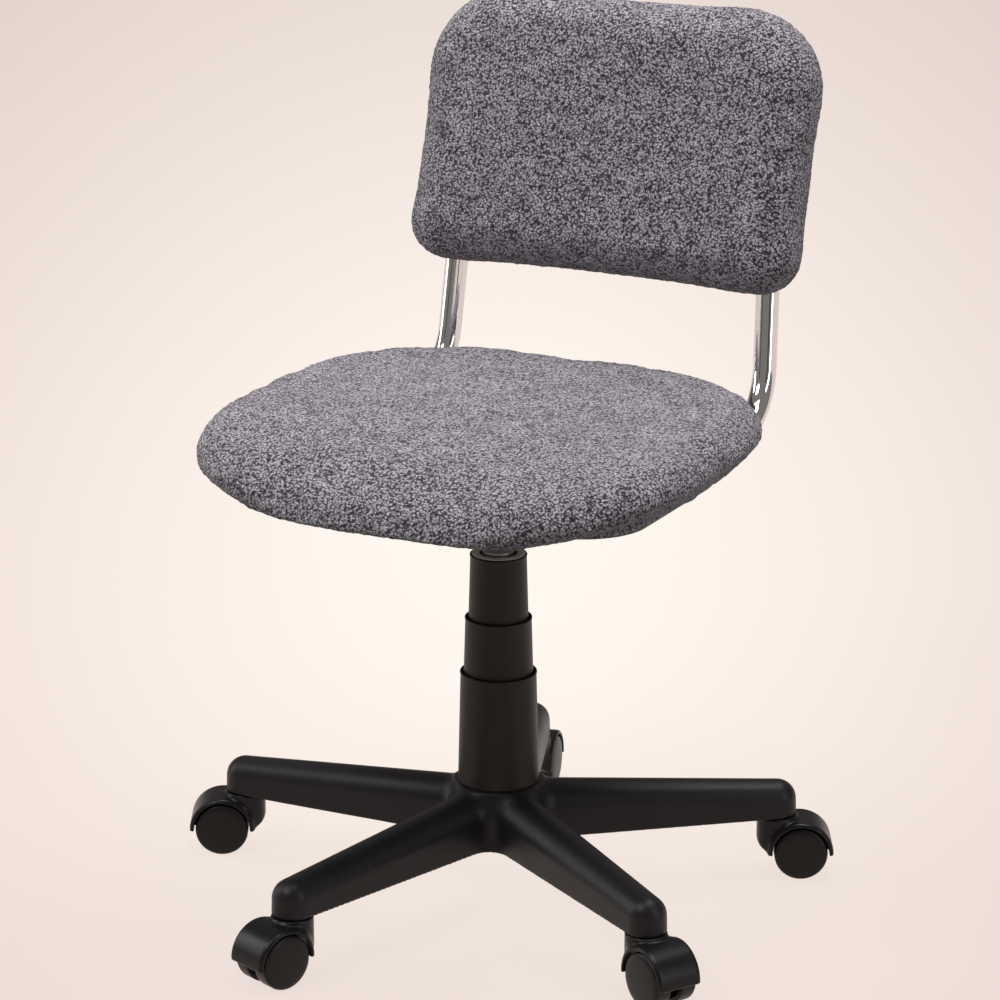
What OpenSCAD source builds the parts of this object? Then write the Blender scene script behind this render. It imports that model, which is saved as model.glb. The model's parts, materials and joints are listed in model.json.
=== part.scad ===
// Armless task chair: upholstered seat and low back on a gas lift and a five-arm base with casters.
// The sitter faces -Y. The origin is on the floor, on the axis of the lift column.

/* [Base] */
// Radius of the circle through the five caster pins
pin_circle_r = 265; // [240:1:290]
// Height of the underside of the arms
arm_bottom_z = 59; // [57:1:60]
// Height of an arm above its underside, at the hub
arm_root_h = 51; // [44:1:52]
// Height of an arm above its underside, at its tip
arm_tip_h = 33; // [29:1:34]
// Width of an arm at the hub
arm_root_w = 46; // [42:1:50]
// Width of an arm at its tip
arm_tip_w = 36; // [34:1:38]
// Direction of the first arm, from +X
arm_turn = 38; // [30:1:46]
// Radius of the hub skirt at the underside of the arms
hub_skirt_r = 50; // [47:1:54]

/* [Casters] */
// Diameter of a wheel
wheel_d = 50; // [48:1:50]
// Distance from the swivel pin to the wheel axle
caster_trail = 22.5; // [21:0.5:27]
// Distance between the outer faces of the two wheels
caster_w = 46; // [44:1:48]
// Diameter of the round neck of a caster
neck_d = 37.6; // [36:0.2:39]

/* [Lift column] */
// Top of the lower cover stage
cover_z1 = 218; // [212:1:222]
// Top of the middle cover stage
cover_z2 = 270; // [266:1:276]
// Top of the upper cover stage
cover_z3 = 330; // [326:1:332]
// Diameter of the gas lift's outer tube
gas_tube_d = 50; // [48:1:50]
// Diameter of the gas lift's inner tube
piston_tube_d = 28; // [27:1:28]

/* [Seat] */
// Width of the seat cushion
seat_w = 482; // [460:1:500]
// Depth of the seat cushion
seat_d = 440; // [420:1:450]
// Height of the seat cushion's widest line
seat_mid_z = 444; // [440:1:450]
// Crown above the widest line
seat_crown = 30; // [26:1:38]
// Depth of the seat cushion below its widest line
seat_under = 33; // [32:1:36]
// How far the front edge drops
seat_droop = 28; // [20:1:34]
// Distance from the column axis forward to the middle of the seat
seat_forward = 23; // [10:1:25]

/* [Back] */
// Width of the back cushion
back_w = 406; // [390:1:420]
// Height of the back cushion
back_h = 271; // [260:1:290]
// Thickness of the back cushion
back_t = 66; // [66:1:74]
// Lean of the back cushion from upright
back_lean = 16.5; // [14:0.5:17]
// Distance from the column axis to the middle of the back cushion
back_mid_y = 248; // [240:1:256]
// Height of the middle of the back cushion
back_mid_z = 668; // [664:1:684]

/* [Posts] */
// Diameter of a back post
post_d = 22; // [20:1:22]
// Lean of a back post from upright
post_lean = 8; // [7:0.25:9]
// Distance between the posts where they run under the seat
post_gap = 332; // [325:1:340]
// Outward splay of each post
post_splay = 2.3; // [0:0.1:3]

/* [Hidden] */
$fn = 64;
ARMS = 5;
ARM_STEP = 72;
TINY = 0.01;
RUN = 0.05;            // radial clearance of a running fit

// direction in which each caster trails, as it stands
TRAIL_DIRS = [27, -30, 248, 207, 104];

// base
tip_axis_z = arm_bottom_z + arm_tip_h - arm_tip_w / 2;
root_axis_z = arm_bottom_z + arm_root_h - arm_root_w / 2;
root_x = 30;
arm_run = pin_circle_r - root_x;
arm_dip = atan((root_axis_z - tip_axis_z) / arm_run);
arm_wall = 4.5;
pocket_start = 62;
pocket_end = pin_circle_r - 24;
rib_t = 3;
base_cut = 5;          // drawn below the underside, then cut off flat
hub_top_z = 113;
hub_top_r = 39.5;
stem_r = 5.5;
stem_top_z = arm_bottom_z + 22;
ring_z = arm_bottom_z + 14;

// casters
wheel_r = wheel_d / 2;
wheel_gap = 1.6;       // from the tread to the hood
hood_t = 3.7;
web_half = 5.2;
neck_top_z = arm_bottom_z - 0.6;
wheel_in = 5.7;        // inner face of a wheel, from the caster's middle plane
wheel_rim = caster_w / 2 - 1.6;
axle_r = 3;
stem_low_r = 5;
stem_low_z = 45;

// lift column
outer_z0 = 52;
outer_z1 = 254;
taper_z = 112;
gas_r = gas_tube_d / 2;
gas_low_r = gas_r - 1.4;
gas_bore_r = gas_r - 2.5;
bush_z0 = 200;
piston_r = piston_tube_d / 2;
piston_z0 = 125;
piston_z1 = 368;
piston_bore_r = 11.5;
gland_h = 12;
rod_r = 5;
rod_z1 = 215;
button_r = 4;
button_h = 7;
cover_t = 1.8;
cover_play = 0.5;
cover_z0 = hub_top_z;
cover_low_r = 37.2;
cover_draft = 1.9;       // how much a stage narrows upwards
cover_reach = 42;      // how far a stage reaches down inside the next
cover_low_top_r = cover_low_r - cover_draft;
cover_mid_r = cover_low_top_r - cover_t - cover_play;
cover_mid_top_r = 30.8;
cover_up_r = cover_mid_top_r - cover_t - cover_play;
cover_up_top_r = 26.2;

// seat
seat_bottom_z = seat_mid_z - seat_under;
board_t = 12;
board_z = seat_bottom_z - board_t;
dust_t = 1.2;
dust_z = board_z - dust_t;
plate_t = 3;
plate_z = dust_z - plate_t;
board_w = 356;
board_corner = 60;
board_y0 = -130;
board_y1 = 118;
dust_margin = -5;        // the cloth stops short of the board's edge
plate_w = 200;
plate_d = 160;
pan_w = 110;
pan_d = 70;
pan_wall = 2.5;
pan_z = plate_z - 37;
socket_r = 16.5;
socket_z = cover_z3 + 4;
plate_hole_x = 84;
plate_hole_y = 62;
screw_r = 3;
head_r = 5.5;
head_h = 3.6;
nut_r = 4.5;
nut_flange_r = 9;
nut_flange_h = 1.2;

// lever
lever_r = 4;
lever_z = 380;
lever_pivot_x = -25;
lever_tip_x = 3;
lever_low_z = 362;
lever_knee_x = -62;
lever_low_x = -120;
lever_end_x = -205;
pin_r = 2.5;
handle_l = 74;
handle_w = 22;
handle_h = 11;

// posts
post_r = post_d / 2;
post_wall = 1.5;
bend_r = 60;
bend_angle = 90 - post_lean;
bend_step = 0.03;      // how much thinner a bend is than the straight runs that lap it
lap = 1;
kink_r = 60;
kink_run = kink_r * tan((back_lean - post_lean) / 2);
post_z = seat_bottom_z + post_r + 0.02;
post_y0 = 20;
post_local_y = 17.5;   // middle of a post behind the middle plane of the back
upright_gap = post_local_y / cos(back_lean);
entry_z = back_mid_z - (back_h / 2 - 6) * cos(back_lean);
entry_y = back_mid_y - (back_mid_z - entry_z) * tan(back_lean) + upright_gap;
bend_end_z = post_z + bend_r * (1 - cos(bend_angle));
upright_l = (entry_z - bend_end_z) / cos(post_lean);
bend_end_y = entry_y - (entry_z - bend_end_z) * tan(post_lean);
bend_y = bend_end_y - bend_r * sin(bend_angle);
post_top_l = 150;
BOLT_YS = [40, 98];
post_nut_r = 4.5;
post_nut_h = 9;
channel_play = 0.5;    // round a post, in the seat cushion

// back
back_r_top = 81;
back_r_low = 40;
BACK_STEPS = [[14, 0], [5, 5], [0, 13]]; // inset of the outline at each depth from a face
back_board_t = 10;
back_board_y = post_local_y - post_r - back_board_t - 0.3;
back_inset = 16;
STRAP_LS = [45, 118];
strap_t = 1.5;
strap_w = 14;
strap_tab = 12;
strap_screw_x = post_r + strap_tab / 2 + 1.5;
strap_screw_r = 2;
strap_screw_l = 9;

// ---- shared shapes ----

// a round tube standing on its end
module tube(outer, inner, h) {
    difference() {
        cylinder(h = h, r = outer);
        translate([0, 0, -1]) cylinder(h = h + 2, r = inner);
    }
}

// a plate with round corners, from z = 0 up
module round_plate(w, d, h, r) {
    linear_extrude(h) {
        square([w - 2 * r, d], center = true);
        square([w, d - 2 * r], center = true);
        for (x = [-1, 1])
            for (y = [-1, 1])
                translate([x * (w / 2 - r), y * (d / 2 - r)]) circle(r);
    }
}

// places its children at every arm, with +X outwards
module each_arm() {
    for (k = [0 : ARMS - 1])
        rotate([0, 0, arm_turn - k * ARM_STEP]) children();
}

// places its children at the pin of caster k (1 to 5), with +X along its trail
module at_caster(k) {
    rotate([0, 0, arm_turn - (k - 1) * ARM_STEP])
        translate([pin_circle_r, 0, 0])
            rotate([0, 0, TRAIL_DIRS[k - 1] - arm_turn + (k - 1) * ARM_STEP]) children();
}

// ---- base ----

// a round cone along an arm, from the hub to the pin
module ridge(r_root, r_tip) {
    translate([root_x, 0, root_axis_z])
        rotate([0, 90 + arm_dip, 0])
            cylinder(h = arm_run / cos(arm_dip), r1 = r_root, r2 = r_tip);
}

// the flat-sided lower part of an arm, inset on both sides, between two distances from the axis
module arm_box(x0, x1, inset) {
    function half(x) = arm_root_w / 2 + (arm_tip_w - arm_root_w) / 2 * (x - root_x) / arm_run - inset;
    function top(x) = root_axis_z - (x - root_x) * tan(arm_dip);
    intersection() {
        translate([0, 0, arm_bottom_z - base_cut])
            linear_extrude(arm_root_h + base_cut)
                polygon([[x0, -half(x0)], [x1, -half(x1)], [x1, half(x1)], [x0, half(x0)]]);
        translate([0, arm_root_w, 0])
            rotate([90, 0, 0])
                linear_extrude(2 * arm_root_w)
                    polygon([[x0, arm_bottom_z - base_cut], [x1, arm_bottom_z - base_cut], [x1, top(x1)], [x0, top(x0)]]);
    }
}

module arm() {
    side = 0.6;
    difference() {
        union() {
            ridge(arm_root_w / 2, arm_tip_w / 2);
            arm_box(root_x, pin_circle_r, side);
            translate([pin_circle_r, 0, arm_bottom_z - base_cut])
                cylinder(h = tip_axis_z - arm_bottom_z + base_cut, r = arm_tip_w / 2 + 1);
            translate([pin_circle_r, 0, tip_axis_z]) sphere(arm_tip_w / 2 + 1.2);
        }
        difference() {
            arm_box(pocket_start, pocket_end, arm_wall + side);
            arm_ribs();
        }
    }
}

module arm_ribs() {
    translate([0, -rib_t / 2, arm_bottom_z - 2 * base_cut])
        cube([pocket_end + 1, rib_t, 2 * arm_root_h]);
    for (x = [105 : 45 : 200])
        translate([x, -arm_root_w / 2, arm_bottom_z - 2 * base_cut])
            cube([rib_t, arm_root_w, 2 * arm_root_h]);
}

module base_star() {
    color([0.10, 0.09, 0.09])
        difference() {
            union() {
                each_arm() arm();
                translate([0, 0, arm_bottom_z - base_cut])
                    cylinder(h = hub_top_z - arm_bottom_z + base_cut, r1 = hub_skirt_r, r2 = hub_top_r);
            }
            gas_tube_outline(0.02);
            each_arm()
                translate([pin_circle_r, 0, arm_bottom_z - 1])
                    cylinder(h = stem_top_z - arm_bottom_z + 2, r = stem_r + 0.01);
            translate([0, 0, arm_bottom_z - 4 * base_cut]) cylinder(h = 4 * base_cut, r = 2 * pin_circle_r);
        }
}

module caster_stems() {
    color([0.62, 0.62, 0.64])
        each_arm()
            translate([pin_circle_r, 0, 0])
                difference() {
                    union() {
                        translate([0, 0, stem_low_z])
                            cylinder(h = stem_top_z - stem_low_z - 1, r = stem_low_r);
                        translate([0, 0, arm_bottom_z])
                            cylinder(h = stem_top_z - arm_bottom_z - 1, r = stem_r);
                        translate([0, 0, arm_bottom_z - 2]) cylinder(h = 2, r = 8);
                    }
                    translate([0, 0, ring_z]) tube(stem_r + 1, stem_r - 0.8, 2);
                }
}

module stem_rings() {
    color([0.45, 0.45, 0.47])
        each_arm()
            translate([pin_circle_r, 0, ring_z + 0.1]) tube(stem_r, stem_r - 0.8, 1.8);
}

// ---- casters ----

// side outline of the caster's hood and web, in x and z
module hood_outline() {
    c = [caster_trail, wheel_r];
    outer = wheel_r + wheel_gap + hood_t;
    intersection() {
        translate(c) circle(outer);
        translate([0, wheel_r - 2]) square([caster_trail + outer, outer + 4]);
    }
    translate(c) circle(12);
}

// side outline of the neck, with its lower front corner rounded
module neck_outline() {
    corner = 12;
    r = neck_d / 2;
    translate([-r + corner, wheel_r + 1]) square([2 * r - corner, neck_top_z - wheel_r - 1]);
    translate([-r, wheel_r + 1 + corner]) square([corner + 1, neck_top_z - wheel_r - 1 - corner]);
    translate([-r + corner, wheel_r + 1 + corner]) circle(corner);
}

module caster_body(k) {
    half_w = caster_w / 2 - 1;
    color([0.12, 0.12, 0.12])
        at_caster(k)
            difference() {
                union() {
                    translate([0, half_w, 0])
                        rotate([90, 0, 0]) linear_extrude(2 * half_w) hood_outline();
                    intersection() {
                        translate([0, 0, wheel_r]) cylinder(h = neck_top_z - wheel_r, r = neck_d / 2);
                        translate([0, half_w, 0])
                            rotate([90, 0, 0]) linear_extrude(2 * half_w) neck_outline();
                    }
                }
                for (side = [-1, 1])
                    translate([caster_trail, side * (web_half + 15), wheel_r])
                        rotate([90, 0, 0])
                            cylinder(h = 30, r = wheel_r + wheel_gap, center = true);
                translate([caster_trail, 0, wheel_r])
                    rotate([90, 0, 0]) cylinder(h = 3 * web_half, r = axle_r + 0.01, center = true);
                translate([0, 0, stem_low_z - 0.5])
                    cylinder(h = neck_top_z, r = stem_low_r + RUN);
                translate([0, 0, arm_bottom_z - 2.3]) cylinder(h = 5, r = 8.4);
            }
}

module axle(k) {
    color([0.70, 0.70, 0.72])
        at_caster(k)
            translate([caster_trail, 0, wheel_r])
                rotate([90, 0, 0]) cylinder(h = 2 * wheel_rim - 6, r = axle_r, center = true);
}

// one wheel: a domed disc with a tread ring and a hub; side is 1 or -1
module wheel(k, side) {
    tread_t = 4;
    hub_r = 6.5;
    face_t = 2.6;
    depth = wheel_rim - wheel_in;
    dome = caster_w / 2 - wheel_rim;
    color([0.09, 0.09, 0.09])
        at_caster(k)
            translate([caster_trail, 0, wheel_r])
                rotate([side * -90, 0, 0])
                    difference() {
                        rotate_extrude()
                            polygon([
                                [0, wheel_in], [hub_r, wheel_in], [hub_r, wheel_rim - face_t],
                                [wheel_r - tread_t, wheel_rim - face_t], [wheel_r - tread_t, wheel_in],
                                [wheel_r - 1, wheel_in], [wheel_r, wheel_in + 1],
                                [wheel_r, wheel_rim - 1.6], [wheel_r - 1.6, wheel_rim],
                                [wheel_r - 4, wheel_rim + 0.2], [wheel_r / 2, wheel_in + depth + dome * 0.8],
                                [0, wheel_rim + dome]
                            ]);
                        cylinder(h = wheel_rim - 2.5, r = axle_r + RUN);
                    }
}

// ---- lift column ----

// outside of the gas lift's outer tube, grown by a clearance
module gas_tube_outline(grow) {
    translate([0, 0, outer_z0])
        cylinder(h = taper_z - outer_z0, r1 = gas_low_r + grow, r2 = gas_r + grow);
    translate([0, 0, taper_z - TINY])
        cylinder(h = outer_z1 - taper_z + TINY, r = gas_r + grow);
}

module gas_outer_tube() {
    color([0.16, 0.16, 0.17])
        difference() {
            gas_tube_outline(0);
            translate([0, 0, outer_z0 + 3]) cylinder(h = outer_z1, r = gas_bore_r);
            translate([0, 0, outer_z0 - 1]) cylinder(h = 5, r = rod_r + RUN);
        }
}

module gas_guide_bush() {
    color([0.90, 0.88, 0.82])
        translate([0, 0, bush_z0]) tube(gas_bore_r, piston_r + RUN, outer_z1 - bush_z0);
}

module thrust_bearing() {
    z0 = outer_z0 + 3;
    ball_r = 1.5;
    color([0.72, 0.72, 0.74]) {
        translate([0, 0, z0]) tube(12, rod_r + 0.4, 1.5);
        for (a = [0 : 30 : 330])
            rotate([0, 0, a]) translate([9, 0, z0 + 1.51 + ball_r]) sphere(ball_r, $fn = 24);
    }
}

module bearing_race() {
    color([0.72, 0.72, 0.74])
        translate([0, 0, outer_z0 + 7.55]) tube(12, rod_r, 1.5);
}

module rod_bumper() {
    color([0.08, 0.08, 0.08])
        translate([0, 0, outer_z0 + 9.05]) tube(13, rod_r, 9);
}

module piston_rod() {
    color([0.80, 0.80, 0.82])
        difference() {
            translate([0, 0, outer_z0 - 7]) cylinder(h = rod_z1 - outer_z0 + 7, r = rod_r);
            translate([0, 0, outer_z0 - 4]) tube(rod_r + 1, rod_r - 1, 1.6);
        }
}

module piston_head() {
    color([0.30, 0.30, 0.32])
        translate([0, 0, rod_z1 - 6]) tube(piston_bore_r - RUN, rod_r, 6);
}

module rod_washer() {
    color([0.66, 0.66, 0.68])
        translate([0, 0, outer_z0 - 2.2]) tube(10, rod_r, 2);
}

module rod_clip() {
    color([0.50, 0.50, 0.52])
        translate([0, 0, outer_z0 - 4]) tube(8, rod_r - 1, 1.6);
}

module piston_tube() {
    color([0.15, 0.15, 0.16])
        difference() {
            translate([0, 0, piston_z0]) cylinder(h = piston_z1 - piston_z0, r = piston_r);
            translate([0, 0, piston_z0 - 1]) cylinder(h = piston_z1 - piston_z0 - 9, r = piston_bore_r);
            cylinder(h = 2 * piston_z1, r = button_r + RUN);
        }
}

module tube_gland() {
    color([0.55, 0.50, 0.35])
        translate([0, 0, piston_z0]) tube(piston_bore_r, rod_r + RUN, gland_h);
}

module release_button() {
    color([0.75, 0.20, 0.15])
        translate([0, 0, piston_z1 - 8]) cylinder(h = button_h + 8, r = button_r);
}

// one tapering stage of the column cover
module cover_stage(z0, z1, r0, r1) {
    difference() {
        translate([0, 0, z0]) cylinder(h = z1 - z0, r1 = r0, r2 = r1);
        translate([0, 0, z0 - TINY])
            cylinder(h = z1 - z0 + 2 * TINY, r1 = r0 - cover_t, r2 = r1 - cover_t);
    }
}

module cover_lower() {
    color([0.13, 0.11, 0.10])
        cover_stage(cover_z0, cover_z1, cover_low_r, cover_low_top_r);
}

module cover_middle() {
    color([0.13, 0.11, 0.10])
        cover_stage(cover_z1 - cover_reach, cover_z2, cover_mid_r, cover_mid_top_r);
}

module cover_upper() {
    lid_t = 3;
    color([0.13, 0.11, 0.10]) {
        cover_stage(cover_z2 - cover_reach, cover_z3 - lid_t, cover_up_r, cover_up_top_r);
        translate([0, 0, cover_z3 - lid_t]) tube(cover_up_top_r, piston_r, lid_t);
    }
}

// ---- seat ----

module seat_plate() {
    pan_h = plate_z - pan_z;
    color([0.20, 0.20, 0.21])
        difference() {
            union() {
                translate([0, 0, plate_z]) round_plate(plate_w, plate_d, plate_t, 12);
                translate([0, 0, pan_z]) round_plate(pan_w, pan_d, pan_h + TINY, 6);
                translate([0, 0, socket_z]) cylinder(h = pan_z - socket_z + 12, r = socket_r);
            }
            difference() {
                translate([0, 0, pan_z + pan_wall])
                    round_plate(pan_w - 2 * pan_wall, pan_d - 2 * pan_wall, pan_h + 5, 4);
                cylinder(h = pan_z + 12, r = socket_r);
            }
            cylinder(h = plate_z, r = piston_r);
            translate([-pan_w, -6, lever_z - 7]) cube([pan_w, 12, 15]);
            translate([lever_pivot_x, 0, lever_z])
                rotate([90, 0, 0]) cylinder(h = pan_d + 10, r = pin_r + 0.01, center = true);
            plate_holes(screw_r + 0.2, plate_z - 1, plate_t + 2);
        }
}

// round holes at the four corners of the seat plate
module plate_holes(r, z, h) {
    for (x = [-1, 1])
        for (y = [-1, 1])
            translate([x * plate_hole_x, y * plate_hole_y, z]) cylinder(h = h, r = r);
}

// round holes where the posts are bolted to the board
module post_holes(r, z, h) {
    for (x = [-1, 1])
        for (y = BOLT_YS)
            translate([x * post_gap / 2, y, z]) cylinder(h = h, r = r);
}

module plate_screws() {
    color([0.70, 0.70, 0.72]) {
        plate_holes(screw_r, plate_z - 1, board_z + board_t - 2 - plate_z + 1);
        plate_holes(head_r, plate_z - head_h, head_h);
    }
}

module seat_nuts() {
    top = seat_bottom_z - 0.1;
    color([0.60, 0.60, 0.62])
        difference() {
            union() {
                plate_holes(nut_r, board_z + 2, board_t - 2.1);
                plate_holes(nut_flange_r, top - nut_flange_h, nut_flange_h);
            }
            plate_holes(screw_r + 0.01, board_z - 1, board_t + 2);
        }
}

module seat_board() {
    mid = (board_y0 + board_y1) / 2;
    color([0.80, 0.66, 0.45])
        difference() {
            translate([0, mid, board_z]) round_plate(board_w, board_y1 - board_y0, board_t, board_corner);
            plate_holes(nut_r + 0.01, board_z - 1, board_t + 2);
            plate_holes(nut_flange_r + 0.01, seat_bottom_z - nut_flange_h - 0.2, 5);
            post_holes(screw_r + 0.2, board_z - 1, board_t + 2);
        }
}

module dust_cover() {
    mid = (board_y0 + board_y1) / 2;
    color([0.08, 0.08, 0.09])
        difference() {
            translate([0, mid, dust_z])
                round_plate(board_w + 2 * dust_margin, board_y1 - board_y0 + 2 * dust_margin, dust_t, 55);
            plate_holes(screw_r + 0.2, dust_z - 1, dust_t + 2);
            post_holes(screw_r + 0.2, dust_z - 1, dust_t + 2);
        }
}

module lever_pin() {
    color([0.70, 0.70, 0.72])
        translate([lever_pivot_x, 0, lever_z])
            rotate([90, 0, 0]) cylinder(h = pan_d + 4, r = pin_r, center = true);
}

// a round bar from one point to another in the x-z plane
module bar(a, b, r) {
    run = b - a;
    translate([a[0], 0, a[1]])
        rotate([0, atan2(run[0], run[1]), 0]) cylinder(h = norm(run), r = r);
}

module lift_lever() {
    pivot_boss_r = 6;
    color([0.68, 0.68, 0.70])
        difference() {
            union() {
                bar([lever_tip_x, lever_z], [lever_knee_x, lever_z], lever_r);
                bar([lever_knee_x, lever_z], [lever_low_x, lever_low_z], lever_r);
                bar([lever_low_x, lever_low_z], [lever_end_x, lever_low_z], lever_r);
                translate([lever_knee_x, 0, lever_z]) sphere(lever_r);
                translate([lever_low_x, 0, lever_low_z]) sphere(lever_r);
                translate([lever_pivot_x, 0, lever_z])
                    rotate([90, 0, 0]) cylinder(h = 14, r = pivot_boss_r, center = true);
            }
            translate([lever_pivot_x, 0, lever_z])
                rotate([90, 0, 0]) cylinder(h = 20, r = pin_r + RUN, center = true);
        }
}

module lever_handle() {
    color([0.10, 0.10, 0.10])
        translate([lever_end_x + 14, 0, lever_low_z])
            difference() {
                translate([0, 0, -handle_h / 2]) round_plate(handle_l, handle_w, handle_h, 10);
                translate([-14, 0, 0]) rotate([0, 90, 0]) cylinder(h = handle_l, r = lever_r);
            }
}

FRONT_POWER = 3.4;      // squareness of the plan at the front
REAR_POWER = 2.7;
CROWN_INSET = 70;       // how far the outline has drawn in at the very top
UNDER_INSET = 62;

// seat cushion: squircle plan, crowned above and tucked in below, front edge rolled down
function squircle(a, n) = pow(pow(abs(cos(a)), n) + pow(abs(sin(a)), n), -1 / n);
function tuck(t, depth, p) = depth * (1 - pow(1 - pow(min(t, 1), p), 1 / p));
function seat_drop(y) = seat_droop * pow(max(0, (-y / (seat_d / 2) - 0.5) * 2), 2);
function seat_point(a, t) =
    let (n = sin(a) < 0 ? FRONT_POWER : REAR_POWER,
         inset = t > 0 ? tuck(t, CROWN_INSET, 2.0) : tuck(-t, UNDER_INSET, 2.4),
         x = cos(a) * squircle(a, n) * (seat_w / 2 - inset),
         y = sin(a) * squircle(a, n) * (seat_d / 2 - inset),
         z = t > 0 ? seat_crown * t : seat_under * t)
    [x, y, z - seat_drop(y)];

SEAT_SIDES = 60;
SEAT_RINGS = [-1, -0.9, -0.7, -0.4, 0, 0.35, 0.6, 0.8, 0.92, 1];
seat_points = [for (t = SEAT_RINGS) for (i = [0 : SEAT_SIDES - 1]) seat_point(i * 360 / SEAT_SIDES, t)];
seat_faces = concat(
    [[for (i = [0 : SEAT_SIDES - 1]) i]],
    [for (j = [0 : len(SEAT_RINGS) - 2]) for (i = [0 : SEAT_SIDES - 1])
        let (k = (i + 1) % SEAT_SIDES)
        [j * SEAT_SIDES + i, (j + 1) * SEAT_SIDES + i, (j + 1) * SEAT_SIDES + k, j * SEAT_SIDES + k]],
    [[for (i = [SEAT_SIDES - 1 : -1 : 0]) (len(SEAT_RINGS) - 1) * SEAT_SIDES + i]]);

module seat_cushion() {
    color([0.42, 0.40, 0.45])
        difference() {
            translate([0, -seat_forward, seat_mid_z])
                hull() polyhedron(points = seat_points, faces = seat_faces, convexity = 4);
            translate([0, (board_y0 + board_y1) / 2, board_z - 1])
                round_plate(board_w + 2 * channel_play, board_y1 - board_y0 + 2 * channel_play,
                            board_t + 1 + TINY, board_corner + channel_play);
            for (side = [-1, 1])
                translate([side * post_gap / 2 - post_r - channel_play, post_y0 - 3, seat_bottom_z - 1])
                    cube([post_d + 2 * channel_play, seat_d, post_d + 1 + 2 * channel_play]);
        }
}

// ---- posts ----

// a bend from +Z towards +Y, starting at the origin
module elbow(r, bend, angle) {
    translate([0, bend, 0])
        rotate([90, 0, 90])
            rotate([0, 0, 180 - angle])
                rotate_extrude(angle = angle) translate([bend, 0]) circle(r - bend_step);
}

// one post of radius r in its own plane: run under the seat, bend, upright, kink, run in the back
module post_solid(r) {
    translate([0, post_y0, 0])
        rotate([-90, 0, 0]) cylinder(h = bend_y - post_y0 + lap, r = r);
    translate([0, bend_y, 0])
        rotate([-90, 0, 0]) mirror([0, 1, 0]) elbow(r, bend_r, bend_angle);
    translate([0, bend_end_y, bend_end_z - post_z])
        rotate([-post_lean, 0, 0]) {
            translate([0, 0, -lap]) cylinder(h = upright_l - kink_run + 2 * lap, r = r);
            translate([0, 0, upright_l - kink_run]) elbow(r, kink_r, back_lean - post_lean);
            translate([0, 0, upright_l])
                rotate([post_lean - back_lean, 0, 0])
                    translate([0, 0, kink_run - lap]) cylinder(h = post_top_l - kink_run + lap, r = r);
        }
}

// places its children in the plane of a post; side is 1 or -1
module at_post(side) {
    translate([side * post_gap / 2, 0, post_z]) rotate([0, -side * post_splay, 0]) children();
}

module back_post(side) {
    color([0.85, 0.85, 0.87])
        difference() {
            at_post(side) post_solid(post_r);
            at_post(side)
                translate([0, post_y0 - 1, 0])
                    rotate([-90, 0, 0]) cylinder(h = bend_y - post_y0 - 20, r = post_r - post_wall);
            post_holes(post_nut_r + 0.01, post_z - 2 * post_r, 2 * post_r);
        }
}

module post_bolts() {
    color([0.70, 0.70, 0.72]) {
        post_holes(screw_r, dust_z - 1, post_z - dust_z);
        post_holes(head_r, dust_z - head_h, head_h);
    }
}

// rivet nuts set in the underside of the posts
module post_nuts() {
    color([0.60, 0.60, 0.62])
        difference() {
            post_holes(post_nut_r, seat_bottom_z + 0.1, post_nut_h);
            post_holes(screw_r + 0.01, seat_bottom_z - 1, post_nut_h + 2);
        }
}

module post_plugs() {
    color([0.08, 0.08, 0.08])
        for (side = [-1, 1])
            at_post(side)
                translate([0, post_y0, 0])
                    rotate([-90, 0, 0]) {
                        translate([0, 0, -2]) cylinder(h = 2, r = post_r);
                        translate([0, 0, -TINY]) cylinder(h = 12, r = post_r - post_wall - 0.01);
                    }
}

// ---- back ----

// places its children in the frame of the back: x across, y to the rear, z up the back
module at_back() {
    translate([0, back_mid_y, back_mid_z]) rotate([-back_lean, 0, 0]) children();
}

// outline of the back in x and z, with larger corners at the top
module back_outline(inset) {
    w = back_w - 2 * inset;
    h = back_h - 2 * inset;
    top = back_r_top - inset;
    low = max(back_r_low - inset, 8);
    union() {
        translate([-w / 2, -h / 2 + low]) square([w, h - low - top]);
        translate([-w / 2 + top, -h / 2 + low]) square([w - 2 * top, h - low]);
        translate([-w / 2 + low, -h / 2]) square([w - 2 * low, h - top]);
        for (x = [-1, 1]) {
            translate([x * (w / 2 - top), h / 2 - top]) circle(top);
            translate([x * (w / 2 - low), -h / 2 + low]) circle(low);
        }
    }
}

// a slab of the back between two depths
module back_slab(y0, y1, inset) {
    translate([0, y1, 0]) rotate([90, 0, 0]) linear_extrude(y1 - y0) back_outline(inset);
}

module back_cushion() {
    front = -back_t / 2;
    color([0.42, 0.40, 0.45])
        at_back()
            for (step = BACK_STEPS)
                back_slab(front + step[1], back_board_y, step[0]);
}

module back_board() {
    color([0.80, 0.66, 0.45])
        difference() {
            at_back() back_slab(back_board_y, back_board_y + back_board_t, back_inset);
            each_strap_screw()
                translate([0, 0, -strap_screw_l - 1])
                    cylinder(h = strap_screw_l + 2, r = strap_screw_r + 0.01);
        }
}

module back_rear_pad() {
    rear = back_t / 2;
    channel_run_in = 40;
    color([0.42, 0.40, 0.45])
        difference() {
            at_back()
                for (step = BACK_STEPS)
                    back_slab(back_board_y, rear - step[1], step[0]);
            at_back() back_slab(back_board_y - 1, back_board_y + back_board_t, back_inset - 0.02);
            for (side = [-1, 1])
                at_upper_post(side) {
                    translate([-post_r - 0.5, -post_r - 1, -channel_run_in])
                        cube([post_d + 1, post_d + 1.6, post_top_l + channel_run_in + 1]);
                    for (l = STRAP_LS)
                        translate([-post_r - strap_tab - 2, -post_r - 1, l - strap_w / 2 - 1])
                            cube([2 * (post_r + strap_tab + 2), post_d + strap_t + 1.6, strap_w + 2]);
                }
        }
}

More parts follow.
